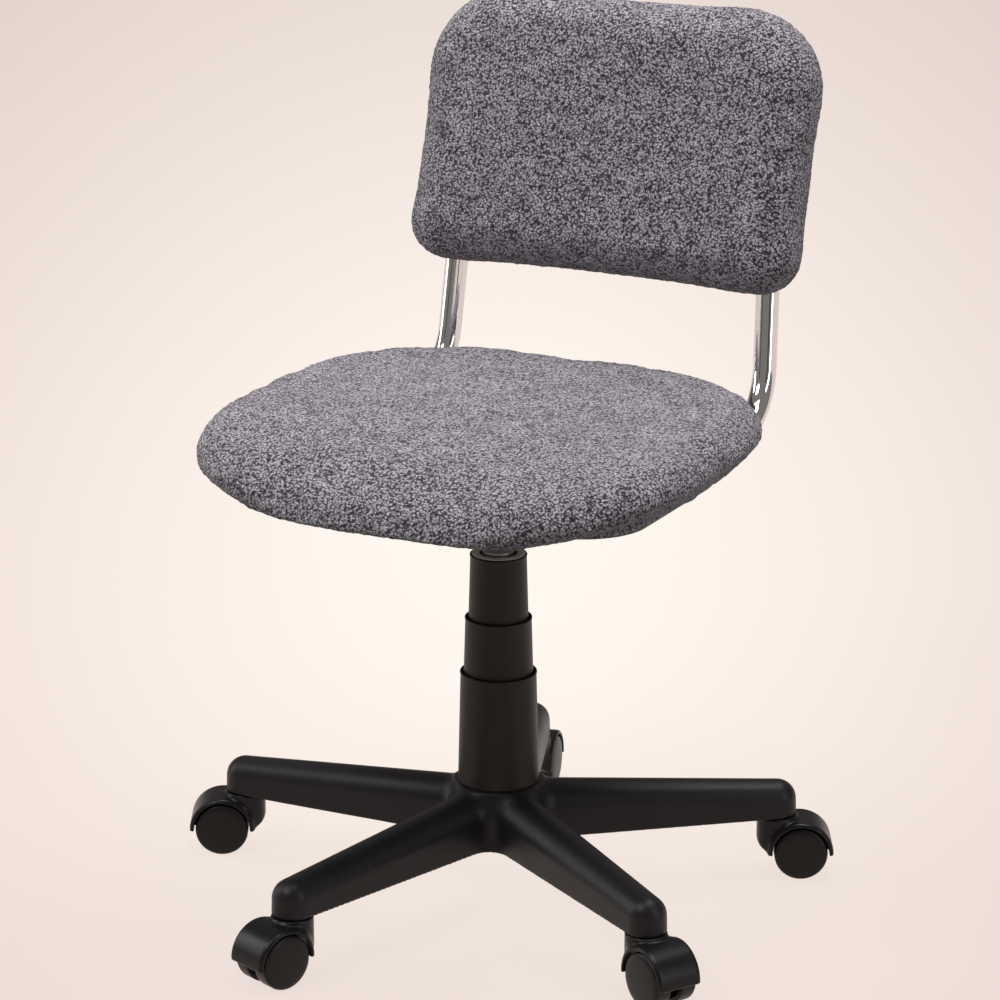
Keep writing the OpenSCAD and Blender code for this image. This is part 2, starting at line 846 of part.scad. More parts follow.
// places its children on a post's run inside the back, z along the tube
module at_upper_post(side) {
    at_post(side)
        translate([0, bend_end_y, bend_end_z - post_z])
            rotate([-post_lean, 0, 0])
                translate([0, 0, upright_l])
                    rotate([post_lean - back_lean, 0, 0]) children();
}

module back_straps() {
    outer = post_r + strap_t + 0.1;
    color([0.66, 0.66, 0.68])
        for (side = [-1, 1])
            at_upper_post(side)
                for (l = STRAP_LS)
                    translate([0, 0, l - strap_w / 2])
                        difference() {
                            union() {
                                cylinder(h = strap_w, r = outer);
                                translate([-outer - strap_tab + 2, -post_r + 0.2, 0])
                                    cube([2 * (outer + strap_tab - 2), strap_t, strap_w]);
                            }
                            translate([0, 0, -1]) cylinder(h = strap_w + 2, r = post_r + 0.1);
                            translate([-outer - strap_tab, -2 * post_r + 0.2, -1])
                                cube([2 * (outer + strap_tab), post_r, strap_w + 2]);
                            for (x = [-1, 1])
                                translate([x * strap_screw_x, 0, strap_w / 2])
                                    rotate([90, 0, 0])
                                        cylinder(h = 2 * post_d, r = strap_screw_r + 0.2, center = true);
                        }
}

// places its children at every strap screw, z pointing to the rear
module each_strap_screw() {
    for (side = [-1, 1])
        at_upper_post(side)
            for (l = STRAP_LS)
                for (x = [-1, 1])
                    translate([x * strap_screw_x, -post_r + strap_t + 0.2, l])
                        rotate([-90, 0, 0]) children();
}

module strap_screws() {
    color([0.70, 0.70, 0.72])
        each_strap_screw() {
            cylinder(h = 2, r = 3.6);
            translate([0, 0, -strap_screw_l]) cylinder(h = strap_screw_l, r = strap_screw_r);
        }
}

// ---- drawing ----
base_star();
caster_stems();
stem_rings();
gas_outer_tube();
gas_guide_bush();
thrust_bearing();
cover_lower();
cover_middle();
cover_upper();
piston_rod();
piston_head();
bearing_race();
rod_bumper();
rod_washer();
rod_clip();
piston_tube();
tube_gland();
release_button();
seat_plate();
plate_screws();
lever_pin();
lift_lever();
lever_handle();
seat_board();
seat_nuts();
dust_cover();
seat_cushion();
back_post(1);  // back_post_left
back_post(-1);  // back_post_right
post_bolts();
post_nuts();
post_plugs();
back_board();
back_straps();
strap_screws();
back_cushion();
back_rear_pad();
for (k = [1 : ARMS]) {
    caster_body(k);
    axle(k);
    wheel(k, 1);
    wheel(k, -1);
}
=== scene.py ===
"""Looks of an armless swivel task chair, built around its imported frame.

Everything is in metres, in the chair's own frame: the sitter faces -Y, +Z is up, and the origin is on
the floor under the lift column.
"""

from __future__ import annotations

import json
import logging
import math
from collections.abc import Callable, Sequence
from dataclasses import dataclass, field
from enum import Enum

import bmesh
import bpy
import numpy as np
from mathutils import Matrix, Vector, noise


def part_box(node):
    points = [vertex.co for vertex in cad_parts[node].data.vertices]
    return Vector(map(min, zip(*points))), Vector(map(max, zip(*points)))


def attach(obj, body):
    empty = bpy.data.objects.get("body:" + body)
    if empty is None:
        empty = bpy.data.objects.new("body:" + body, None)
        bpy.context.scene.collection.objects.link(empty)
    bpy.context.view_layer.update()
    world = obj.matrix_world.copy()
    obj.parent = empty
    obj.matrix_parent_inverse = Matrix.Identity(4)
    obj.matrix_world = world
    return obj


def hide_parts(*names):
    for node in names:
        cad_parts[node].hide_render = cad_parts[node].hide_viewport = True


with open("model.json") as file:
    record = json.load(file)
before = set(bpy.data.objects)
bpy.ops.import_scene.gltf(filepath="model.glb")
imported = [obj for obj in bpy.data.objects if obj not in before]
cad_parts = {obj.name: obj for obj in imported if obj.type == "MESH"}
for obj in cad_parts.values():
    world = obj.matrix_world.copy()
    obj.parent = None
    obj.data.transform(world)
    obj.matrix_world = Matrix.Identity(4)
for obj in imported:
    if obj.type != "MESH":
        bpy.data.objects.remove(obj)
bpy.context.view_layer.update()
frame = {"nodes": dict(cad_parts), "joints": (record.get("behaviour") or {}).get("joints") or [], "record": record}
LOG = logging.getLogger("chair")

Colour = tuple[float, float, float, float]
Distance = Callable[[np.ndarray, np.ndarray, np.ndarray], np.ndarray]


class Side(Enum):
    """A side of the chair or of a caster, as the sign of its own axis."""

    LEFT = 1
    RIGHT = -1

    @property
    def word(self) -> str:
        """The side as it stands in the names of pieces."""
        return self.name.lower()


# ---- shader graph ----


@dataclass(frozen=True)
class Signal:
    """A number that varies over a surface and takes part in arithmetic."""

    graph: "Graph"
    out: bpy.types.NodeSocket

    def _join(self, operation: str, a: "Signal | float", b: "Signal | float") -> "Signal":
        """Adds one Math node.

        Args:
            operation: the node's operation.
            a: its first value.
            b: its second value.

        Returns:
            The node's result.
        """
        return self.graph.node("ShaderNodeMath", {"operation": operation}, {"Value": a, "Value_001": b})

    def __add__(self, other: "Signal | float") -> "Signal":
        """This plus other."""
        return self._join("ADD", self, other)

    def __sub__(self, other: "Signal | float") -> "Signal":
        """This less other."""
        return self._join("SUBTRACT", self, other)

    def __rsub__(self, other: "Signal | float") -> "Signal":
        """Other less this."""
        return self._join("SUBTRACT", other, self)

    def __mul__(self, other: "Signal | float") -> "Signal":
        """This times other."""
        return self._join("MULTIPLY", self, other)

    def at_least(self, floor: float) -> "Signal":
        """This, or floor where this is less."""
        return self._join("MAXIMUM", self, floor)

    def at_most(self, ceiling: float) -> "Signal":
        """This, or ceiling where this is more."""
        return self._join("MINIMUM", self, ceiling)


class Graph:
    """The node graph of one material, with a Principled surface at its end."""

    def __init__(self, name: str) -> None:
        """Makes an empty material.

        Args:
            name: the material's name.
        """
        self.material = bpy.data.materials.new(name)
        self.material.use_nodes = True
        self.tree = self.material.node_tree
        self.tree.nodes.clear()
        self.place = self.node("ShaderNodeTexCoord", {}, {}, "Object")

    def node(self, kind: str, settings: dict, sockets: dict, result: str = "") -> Signal:
        """Adds one node.

        Args:
            kind: the node's type.
            settings: its properties.
            sockets: a value or a link for each input, by identifier or name.
            result: the output that is wanted, the first when empty.

        Returns:
            The wanted output.
        """
        node = self.tree.nodes.new(kind)
        for key, value in settings.items():
            setattr(node, key, value)
        for key, value in sockets.items():
            socket = next((s for s in node.inputs if s.identifier == key), None) or node.inputs[key]
            if isinstance(value, Signal):
                self.tree.links.new(value.out, socket)
            else:
                socket.default_value = value
        found = [s for s in node.outputs if result in (s.identifier, s.name)] if result else []
        return Signal(self, (found or list(node.outputs) or [None])[0])

    def grain(self, per_metre: float, detail: float = 2.0, rough: float = 0.5) -> Signal:
        """Cloudy noise from 0 to 1 at so many blobs to the metre."""
        sockets = {"Vector": self.place, "Scale": per_metre, "Detail": detail, "Roughness": rough}
        return self.node("ShaderNodeTexNoise", {}, sockets)

    def cells(self, per_metre: float, where: Signal | None = None) -> Signal:
        """Distance to the nearest of scattered points, so many to the metre."""
        sockets = {"Vector": where or self.place, "Scale": per_metre}
        return self.node("ShaderNodeTexVoronoi", {}, sockets, "Distance")

    def between(self, share: Signal | float, a: Signal | Colour, b: Signal | Colour) -> Signal:
        """Colour a where share is 0, and b where it is 1."""
        sockets = {"Factor_Float": share, "A_Color": a, "B_Color": b}
        return self.node("ShaderNodeMix", {"data_type": "RGBA"}, sockets, "Result_Color")

    def relief(self, height: Signal, depth: float) -> Signal:
        """A normal that follows a height, depth metres from 0 to 1."""
        return self.node("ShaderNodeBump", {}, {"Height": height, "Distance": depth, "Strength": 1.0})

    def surface(self, sockets: dict) -> bpy.types.Material:
        """Ends the graph with a Principled surface.

        Args:
            sockets: its inputs.

        Returns:
            The finished material.
        """
        shader = self.node("ShaderNodeBsdfPrincipled", {}, sockets)
        self.node("ShaderNodeOutputMaterial", {}, {"Surface": shader})
        return self.material


# ---- finishes ----


@dataclass(frozen=True)
class MouldedPlastic:
    """Injection-moulded plastic with a spark-eroded grain."""

    name: str
    colour: Colour
    roughness: float = 0.42
    grain_per_metre: float = 1900.0
    grain_depth: float = 0.00012
    dust: float = 0.25

    def build(self) -> bpy.types.Material:
        """The material."""
        g = Graph(self.name)
        grain = g.grain(self.grain_per_metre, 3.0)
        patches = g.grain(26.0, 4.0)
        pale = tuple(min(1.0, c * 1.7 + 0.003) for c in self.colour[:3]) + (1.0,)
        return g.surface(
            {
                "Base Color": g.between((patches * self.dust + grain * 0.12).at_most(1.0), self.colour, pale),
                "Roughness": patches * 0.14 + grain * 0.10 + (self.roughness - 0.12),
                "Specular IOR Level": 0.22,
                "Normal": g.relief(grain, self.grain_depth),
            }
        )


@dataclass(frozen=True)
class ChromePlate:
    """Polished chrome plate, with the faintest smears."""

    name: str

    def build(self) -> bpy.types.Material:
        """The material."""
        g = Graph(self.name)
        smears = g.grain(70.0, 5.0)
        return g.surface(
            {
                "Base Color": g.between(smears * 0.5, (0.80, 0.80, 0.81, 1), (0.90, 0.89, 0.88, 1)),
                "Metallic": 1.0,
                "Roughness": smears * 0.05 + 0.03,
                "Normal": g.relief(smears, 0.00004),
            }
        )


@dataclass(frozen=True)
class PlatedSteel:
    """Zinc-plated steel, drawn and slightly stained."""

    name: str
    colour: Colour = (0.55, 0.55, 0.56, 1)
    roughness: float = 0.32

    def build(self) -> bpy.types.Material:
        """The material."""
        g = Graph(self.name)
        stain = g.grain(90.0, 5.0)
        scratch = g.grain(2600.0, 2.0)
        dark = tuple(c * 0.72 for c in self.colour[:3]) + (1.0,)
        return g.surface(
            {
                "Base Color": g.between(stain, dark, self.colour),
                "Metallic": 1.0,
                "Roughness": stain * 0.16 + scratch * 0.12 + (self.roughness - 0.12),
                "Normal": g.relief(scratch, 0.00004),
            }
        )


@dataclass(frozen=True)
class PowderCoat:
    """Baked powder paint with an orange-peel skin."""

    name: str
    colour: Colour

    def build(self) -> bpy.types.Material:
        """The material."""
        g = Graph(self.name)
        peel = g.grain(700.0, 2.0)
        patches = g.grain(30.0, 3.0)
        pale = tuple(c * 1.8 + 0.004 for c in self.colour[:3]) + (1.0,)
        return g.surface(
            {
                "Base Color": g.between(patches * 0.5, self.colour, pale),
                "Roughness": peel * 0.15 + 0.30,
                "Coat Weight": 0.15,
                "Normal": g.relief(peel, 0.00012),
            }
        )


@dataclass(frozen=True)
class Boucle:
    """Curly boucle fleece: tight curls, with painted shade in the gaps between them."""

    name: str
    curl_tip: Colour = (0.560, 0.518, 0.580, 1)
    # The root colour is painted shade for the gaps between the curls, not the fleece's own colour.
    crevice_shade: Colour = (0.016, 0.013, 0.018, 1)
    curls_per_metre: float = 430.0

    def build(self) -> bpy.types.Material:
        """The material."""
        g = Graph(self.name)
        wander = g.node(
            "ShaderNodeTexNoise",
            {},
            {"Vector": g.place, "Scale": 300.0, "Detail": 3.0, "Roughness": 0.6},
            "Color",
        )
        pushed = g.node(
            "ShaderNodeVectorMath",
            {"operation": "MULTIPLY_ADD"},
            {"Vector": wander, "Vector_001": (0.0034, 0.0034, 0.0034), "Vector_002": g.place},
        )
        curls = 1.0 - g.cells(self.curls_per_metre, pushed)
        loops = 1.0 - g.cells(self.curls_per_metre * 1.9, pushed)
        clumps = g.grain(60.0, 4.0, 0.6)
        fibre = g.grain(2400.0, 2.0)
        height = curls * 0.62 + loops * 0.25 + fibre * 0.08 + clumps * 0.18
        # lit: the fleece's own colour on the raised curls, fading to the painted shade in the gaps between them.
        lit = ((height - 0.45) * 3.2 + (clumps - 0.5) * 0.20).at_least(0.0).at_most(1.0)
        return g.surface(
            {
                "Base Color": g.between(lit, self.crevice_shade, self.curl_tip),
                "Roughness": 1.0 - lit * 0.12,
                "Specular IOR Level": 0.25,
                "Sheen Weight": 0.35,
                "Sheen Roughness": 0.5,
                "Sheen Tint": (0.85, 0.82, 0.9, 1),
                "Normal": g.relief(height, 0.0040),
            }
        )


@dataclass(frozen=True)
class NonWoven:
    """Black spun-bonded dust cloth with its pattern of heat points."""

    name: str

    def build(self) -> bpy.types.Material:
        """The material."""
        g = Graph(self.name)
        points = g.cells(650.0)
        fibre = g.grain(1500.0, 4.0)
        share = points * 0.6 + fibre * 0.4
        return g.surface(
            {
                "Base Color": g.between(share, (0.012, 0.012, 0.013, 1), (0.05, 0.05, 0.055, 1)),
                "Roughness": fibre * 0.2 + 0.75,
                "Normal": g.relief(points + fibre * 0.5, 0.0003),
            }
        )


@dataclass(frozen=True)
class Plywood:
    """Raw plywood with long grain."""

    name: str

    def build(self) -> bpy.types.Material:
        """The material."""
        g = Graph(self.name)
        along = g.node(
            "ShaderNodeMapping", {}, {"Vector": g.place, "Scale": (7.0, 110.0, 420.0)}
        )
        streak = g.node(
            "ShaderNodeTexNoise", {}, {"Vector": along, "Scale": 1.0, "Detail": 6.0, "Distortion": 0.6}
        )
        pore = g.grain(900.0, 2.0)
        return g.surface(
            {
                "Base Color": g.between(streak, (0.36, 0.21, 0.10, 1), (0.66, 0.47, 0.28, 1)),
                "Roughness": pore * 0.2 + 0.55,
                "Normal": g.relief(streak + pore * 0.4, 0.0002),
            }
        )


class Slot(Enum):
    """The record's material slots, each with the finish that dresses it."""

    NYLON = ("nylon_black", MouldedPlastic("nylon", (0.0100, 0.0085, 0.0092, 1), 0.40))
    CASTER = ("caster_black",
        MouldedPlastic("caster_shell", (0.0065, 0.0058, 0.0058, 1), 0.34, 1200.0, 0.00004, 0.12),
    )
    WHEEL = ("wheel_black",
        MouldedPlastic("wheel_nylon", (0.0075, 0.0060, 0.0058, 1), 0.38, 1500.0, 0.00006, 0.15),
    )
    COVER = ("cover_brown",
        MouldedPlastic("cover_plastic", (0.0120, 0.0082, 0.0064, 1), 0.48, 2200.0, 0.00008, 0.12),
    )
    CHROME = ("chrome", ChromePlate("chrome_plate"))
    PAINT = ("steel_black", PowderCoat("black_paint", (0.014, 0.014, 0.015, 1)))
    STEEL = ("steel_bright", PlatedSteel("plated_steel"))
    RUBBER = ("rubber_black", MouldedPlastic("rubber", (0.014, 0.014, 0.014, 1), 0.75, 900.0, 0.0001, 0.3))
    ACETAL = ("bush_white", MouldedPlastic("acetal", (0.62, 0.58, 0.50, 1), 0.40, 1500.0, 0.00003, 0.1))
    BUTTON = ("button_red", MouldedPlastic("button", (0.34, 0.03, 0.02, 1), 0.40, 1500.0, 0.00003, 0.1))
    FABRIC = ("boucle", Boucle("boucle_fleece"))
    CLOTH = ("dust_cloth", NonWoven("spun_cloth"))
    WOOD = ("plywood", Plywood("birch_ply"))

    @property
    def word(self) -> str:
        """The slot's name in the record."""
        return self.value[0]


class Wardrobe:
    """Builds each finish once and dresses pieces in it."""

    def __init__(self) -> None:
        """Starts with nothing built."""
        self.built: dict[Slot, bpy.types.Material] = {}

    def material(self, slot: Slot) -> bpy.types.Material:
        """The material of a slot."""
        if slot not in self.built:
            self.built[slot] = slot.value[1].build()
        return self.built[slot]

    def dress(self, piece: bpy.types.Object, slot: Slot) -> None:
        """Puts a slot's material on the whole of a piece."""
        piece.data.materials.clear()
        piece.data.materials.append(self.material(slot))

    def fit(self, piece: bpy.types.Object, body: str, slot: Slot, *nodes: str) -> bpy.types.Object:
        """Dresses a piece and joins it to the chair.

        Args:
            piece: the finished mesh, in place.
            body: the body that it moves with.
            slot: the slot of its finish.
            nodes: the plain nodes that it stands for.

        Returns:
            The piece.
        """
        self.dress(piece, slot)
        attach(piece, body)
        if nodes:
            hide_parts(*nodes)
        LOG.info("%s: %d faces, on %s", piece.name, len(piece.data.polygons), body)
        return piece


# ---- meshes ----


def add_mesh(name: str, points: Sequence, faces: Sequence, sharp: float = 180.0) -> bpy.types.Object:
    """Makes a smooth-shaded mesh.

    Args:
        name: the piece's name.
        points: its corners.
        faces: its faces, as tuples of corner numbers.
        sharp: the angle, in degrees, above which an edge stays sharp.

    Returns:
        The new object.
    """
    mesh = bpy.data.meshes.new(name)
    mesh.from_pydata([tuple(p) for p in points], [], [tuple(f) for f in faces])
    mesh.validate()
    mesh.shade_smooth()
    if sharp < 180.0:
        mesh.set_sharp_from_angle(angle=math.radians(sharp))
    piece = bpy.data.objects.new(name, mesh)
    bpy.context.scene.collection.objects.link(piece)
    return piece


def band_faces(rows: int, sides: int, closed: bool = False) -> list:
    """Faces between rows of points, each a ring of so many; closed joins the last row to the first."""
    return [
        (j * sides + i, j * sides + (i + 1) % sides, (j + 1) % rows * sides + (i + 1) % sides,
         (j + 1) % rows * sides + i)
        for j in range(rows if closed else rows - 1)
        for i in range(sides)
    ]


def tube_faces(rows: int, sides: int) -> list:
    """Faces between rows of points, with a cap at each end."""
    first = tuple(range(sides))
    return band_faces(rows, sides) + [first[::-1], tuple((rows - 1) * sides + i for i in first)]


def melt(a: np.ndarray, b: np.ndarray, radius: float) -> np.ndarray:
    """Union of two distances with a fillet of about radius."""
    share = np.clip(0.5 + 0.5 * (b - a) / radius, 0.0, 1.0)
    return b + (a - b) * share - radius * share * (1.0 - share)


def trim(a: np.ndarray, b: np.ndarray, radius: float) -> np.ndarray:
    """Intersection of two distances with its edge rounded by about radius."""
    return -melt(-a, -b, radius)


def rounded_corner(a: np.ndarray, b: np.ndarray) -> np.ndarray:
    """Distance to the corner between two sides, where a and b are the distances past each."""
    return np.hypot(np.maximum(a, 0), np.maximum(b, 0)) + np.minimum(np.maximum(a, b), 0)


CORNERS = np.array([[i, j, k] for i in (0, 1) for j in (0, 1) for k in (0, 1)])
CELL_EDGES = [
    (a, b)
    for a in range(len(CORNERS))
    for b in range(a + 1, len(CORNERS))
    if np.abs(CORNERS[a] - CORNERS[b]).sum() == 1
]


def net_points(value: np.ndarray, cells: np.ndarray) -> np.ndarray:
    """One point for each cell that the surface crosses, in cells from the grid's corner.

    Args:
        value: the distance at every grid point.
        cells: the lowest corner of each crossed cell.

    Returns:
        The mean of the places where the surface crosses the cell's edges.
    """
    at = [value[tuple((cells + corner).T)] for corner in CORNERS]
    total = np.zeros(cells.shape, float)
    count = np.zeros((len(cells), 1))
    for a, b in CELL_EDGES:
        crossed = (at[a] < 0) != (at[b] < 0)
        share = (at[a][crossed] / (at[a][crossed] - at[b][crossed]))[:, None]
        total[crossed] += CORNERS[a] + share * (CORNERS[b] - CORNERS[a])
        count[crossed] += 1
    return cells + total / count


def net_faces(inside: np.ndarray, number: np.ndarray) -> np.ndarray:
    """One face for each grid edge that the surface crosses.

    Args:
        inside: which grid points are inside.
        number: the number of each cell's point.

    Returns:
        Rows of four point numbers, turned outwards.
    """
    faces = []
    for axis in range(3):
        u, v = (axis + 1) % 3, (axis + 2) % 3
        low = np.take(inside, range(inside.shape[axis] - 1), axis)
        high = np.take(inside, range(1, inside.shape[axis]), axis)
        edge = np.argwhere(low != high)
        off_u, off_v = np.eye(3, dtype=int)[u], np.eye(3, dtype=int)[v]
        ring = [edge - off_u - off_v, edge - off_v, edge, edge - off_u]
        quads = np.stack([number[tuple(c.T)] for c in ring], axis=1)
        back = ~low[tuple(edge.T)]
        quads[back] = quads[back][:, ::-1]
        faces.append(quads)
    return np.vstack(faces)


def cast_shape(name: str, shape: Distance, box: Sequence, step: float) -> bpy.types.Object:
    """Meshes a solid that is given as a distance, negative inside.

    Args:
        name: the piece's name.
        shape: the distance as a function of x, y and z.
        box: lowest and highest corner, clear of the solid.
        step: the size of a face.

    Returns:
        The new object.
    """
    low, high = np.array(box[0], float), np.array(box[1], float)
    axes = [np.arange(low[i], high[i] + step, step) for i in range(3)]
    value = shape(*np.meshgrid(*axes, indexing="ij"))
    inside = value < 0
    shares = sum(
        inside[i : i - 1 or None, j : j - 1 or None, k : k - 1 or None].astype(int) for i, j, k in CORNERS
    )
    cells = np.argwhere((shares > 0) & (shares < len(CORNERS)))
    number = np.full(shares.shape, -1)
    number[tuple(cells.T)] = np.arange(len(cells))
    points = low + step * net_points(value, cells)
    nudge = step * 0.25
    for _ in range(2):
        x, y, z = points.T
        here = shape(x, y, z)
        slope = np.stack(
            [
                shape(x + nudge, y, z) - shape(x - nudge, y, z),
                shape(x, y + nudge, z) - shape(x, y - nudge, z),
                shape(x, y, z + nudge) - shape(x, y, z - nudge),
            ],
            axis=1,
        ) / (2 * nudge)
        move = here[:, None] * slope / np.maximum((slope**2).sum(1), 0.25)[:, None]
        points -= np.clip(move, -0.5 * step, 0.5 * step)
    return add_mesh(name, points, net_faces(inside, number))


def arc(centre: tuple[float, float], radius: float, start: float, end: float, steps: int = 6) -> list:
    """Points on a circle, angles in degrees."""
    turns = [math.radians(start + (end - start) * i / steps) for i in range(steps + 1)]
    return [(centre[0] + radius * math.cos(a), centre[1] + radius * math.sin(a)) for a in turns]


def lathe(name: str, outline: Sequence, place: Matrix, sides: int = 96) -> bpy.types.Object:
    """Turns an outline of (radius, height) about an axis.

    Args:
        name: the piece's name.
        outline: a closed outline; a radius of 0 is on the axis.
        place: puts the axis, drawn as +Z, in its place.
        sides: faces round the axis.

    Returns:
        The new object.
    """
    points, rows = [], []
    for radius, height in outline:
        count = 1 if radius < 1e-7 else sides
        rows.append(range(len(points), len(points) + count))
        for i in range(count):
            a = math.tau * i / sides
            points.append(place @ Vector((radius * math.cos(a), radius * math.sin(a), height)))
    faces = []
    for low, high in zip(rows, rows[1:] + rows[:1]):
        if len(low) == len(high) == 1:
            continue
        for i in range(sides):
            j = (i + 1) % sides
            ring = [low[i % len(low)], low[j % len(low)], high[j % len(high)], high[i % len(high)]]
            faces.append(list(dict.fromkeys(ring)))
    piece = add_mesh(name, points, faces, 40.0)
    turn_outwards(piece)
    return piece


def rounded_box_ring(half_x: float, half_y: float, corner: float, steps: int) -> list:
    """Points round a box with rounded corners, each with its outward direction, as (x, y, nx, ny)."""
    ring = []
    for k, (sx, sy) in enumerate(((1, 1), (-1, 1), (-1, -1), (1, -1))):
        for i in range(steps + 1):
            a = math.radians(90 * (k + i / steps))
            x, y = math.cos(a), math.sin(a)
            ring.append((sx * (half_x - corner) + corner * x, sy * (half_y - corner) + corner * y, x, y))
    return ring


def turn_outwards(piece: bpy.types.Object) -> None:
    """Makes every face of a closed mesh look outwards."""
    mesh = bmesh.new()
    mesh.from_mesh(piece.data)
    bmesh.ops.recalc_face_normals(mesh, faces=mesh.faces)
    mesh.to_mesh(piece.data)
    mesh.free()


def rounded_path(corners: Sequence[Vector], radii: Sequence[float], steps: int = 20) -> list[Vector]:
    """A line through corners, with each inner corner bent to a radius.

    Args:
        corners: the corners.
        radii: the bend at each inner corner.
        steps: points along each bend.

    Returns:
        The points of the line.
    """
    path = [corners[0]]
    for before, here, after, radius in zip(corners, corners[1:], corners[2:], radii):
        back, on = (before - here).normalized(), (after - here).normalized()
        half = back.angle(on) / 2
        start = here + back * radius / math.tan(half)
        centre = here + (back + on).normalized() * radius / math.sin(half)
        first = start - centre
        axis = first.cross(-back).normalized()
        turn = math.pi - 2 * half
        for i in range(steps + 1):
            path.append(centre + Matrix.Rotation(turn * i / steps, 3, axis) @ first)
    return path + [corners[-1]]


def sweep(name: str, path: Sequence[Vector], radius: float, edge: float, sides: int = 40) -> bpy.types.Object:
    """A round bar along a path, with the edges of its ends broken.

    Args:
        name: the piece's name.
        path: its centre line.
        radius: its radius.
        edge: radius of the ends' edges.
        sides: faces round it.

    Returns:
        The new object.
    """
    tangents = [(b - a).normalized() for a, b in zip(path, path[1:])]
    tangents = [tangents[0]] + [(a + b).normalized() for a, b in zip(tangents, tangents[1:])] + [tangents[-1]]
    across = tangents[0].orthogonal().normalized()
    rings, before = [], tangents[0]
    for point, tangent in zip(path, tangents):
        across = before.rotation_difference(tangent) @ across
        before = tangent
        rings.append((point, across.copy(), tangent.cross(across), radius))
    for end, inwards in ((0, 1), (-1, -1)):
        point, a, b, _ = rings[end]
        run = tangents[end] * inwards
        steps = [(point + run * edge * (1 - math.sin(t)), a, b, radius - edge * (1 - math.cos(t)))
                 for t in (0.0, 0.6, 1.1, math.pi / 2)]
        rings = steps[::-1] + rings[1:] if end == 0 else rings[:-1] + steps
    points = [
        centre + (a * math.cos(math.tau * i / sides) + b * math.sin(math.tau * i / sides)) * r
        for centre, a, b, r in rings
        for i in range(sides)
    ]
    piece = add_mesh(name, points, tube_faces(len(rings), sides), 60.0)
    turn_outwards(piece)
    return piece


def point_array(mesh: bpy.types.Mesh, item: str = "co") -> np.ndarray:
    """A mesh's points, or their normals, as rows."""
    source = mesh.vertices if item == "co" else mesh.vertex_normals
    rows = np.zeros(len(source) * 3, np.float32)
    source.foreach_get("co" if item == "co" else "vector", rows)
    return rows.reshape(-1, 3).astype(float)


def put_points(mesh: bpy.types.Mesh, rows: np.ndarray) -> None:
    """Moves a mesh's points to new places."""
    mesh.vertices.foreach_set("co", rows.astype(np.float32).ravel())
    mesh.update()


# ---- base ----


def joint_place(name: str) -> Vector:
    """Where a joint of the frame is."""
    return Vector(next(j for j in frame["joints"] if j["name"] == name)["pos_m"])


ARMS = 5


@dataclass
class BaseStar:
    """The five-arm nylon base: ridged arms that flow out of a round hub."""

    wardrobe: Wardrobe
    underside: float = 0.059
    root_at: float = 0.030
    root_half: float = 0.0230
    tip_half: float = 0.0180
    root_axis: float = 0.0870
    tip_axis: float = 0.0740
    wall: float = 0.0042
    hub_low: float = 0.050
    hub_high: float = 0.0398
    hub_top: float = 0.113
    fillet: float = 0.012
    edge: float = 0.0016
    face: float = 0.0019
    rib: float = 0.0016
    rib_places: tuple = (0.105, 0.150, 0.195)
    pocket_start: float = 0.060
    pocket_end_gap: float = 0.020
    column_bore: float = 0.0252
    pin_bore: float = 0.0056
    pin_depth: float = 0.022
    pins: list[Vector] = field(default_factory=list)

    def __post_init__(self) -> None:
        """Takes the places of the caster pins from the frame."""
        self.pins = [joint_place(f"caster_{k}_swivel") for k in range(1, ARMS + 1)]
        self.reach = self.pins[0].xy.length

    def arm(self, u: np.ndarray, v: np.ndarray, z: np.ndarray, wall: float = 0.0) -> np.ndarray:
        """Distance to one arm, drawn along u.

        Args:
            u: distance along the arm.
            v: distance across it.
            z: height.
            wall: how far the surface is drawn in.

        Returns:
            The distance, open below.
        """
        along = np.clip(u, 0.0, self.reach)
        share = (along - self.root_at) / (self.reach - self.root_at)
        half = self.root_half + (self.tip_half - self.root_half) * share
        axis = self.root_axis + (self.tip_axis - self.root_axis) * share
        rise = np.maximum(z - axis, 0.0)
        lean = np.maximum(axis - z, 0.0) * 0.03
        return np.sqrt((u - along) ** 2 + v**2 + rise**2) - half - lean + wall

    def pocket(self, u: np.ndarray, v: np.ndarray, z: np.ndarray) -> np.ndarray:
        """Distance to the hollow under an arm, between its ribs."""
        hollow = self.arm(u, v, z, self.wall)
        hollow = np.maximum(hollow, self.pocket_start - u)
        hollow = np.maximum(hollow, u - (self.reach - self.pocket_end_gap))
        hollow = np.maximum(hollow, self.rib - np.abs(v))
        for at in self.rib_places:
            hollow = np.maximum(hollow, self.rib - np.abs(u - at))
        return hollow

    def shape(self, x: np.ndarray, y: np.ndarray, z: np.ndarray) -> np.ndarray:
        """Distance to the whole base."""
        out = np.hypot(x, y)
        climb = np.clip((z - self.underside) / (self.hub_top - self.underside), 0.0, 1.0)
        hub = out - (self.hub_low + (self.hub_high - self.hub_low) * climb**0.8)
        solid = trim(hub, z - self.hub_top, self.edge * 2)
        pockets = np.full_like(solid, 1.0)
        for pin in self.pins:
            c, s = pin.x / self.reach, pin.y / self.reach
            u, v = x * c + y * s, y * c - x * s
            solid = melt(solid, self.arm(u, v, z), self.fillet)
            pockets = np.minimum(pockets, self.pocket(u, v, z))
        solid = trim(solid, z - self.hub_top, self.edge)
        solid = trim(solid, self.underside - z, self.edge)
        solid = trim(solid, -pockets, self.edge * 0.4)
        solid = np.maximum(solid, self.column_bore - out)
        for pin in self.pins:
            bore = self.pin_bore - np.hypot(x - pin.x, y - pin.y)
            solid = np.maximum(solid, np.minimum(bore, self.underside + self.pin_depth - z))
        return solid

    def build(self) -> None:
        """Casts the base and fits it."""
        rim = self.reach + self.tip_half + 0.008
        box = ((-rim, -rim, self.underside - 0.006), (rim, rim, self.hub_top + 0.006))
        piece = cast_shape("base_moulding", self.shape, box, self.face)
        self.wardrobe.fit(piece, "base", Slot.NYLON, "base_star")


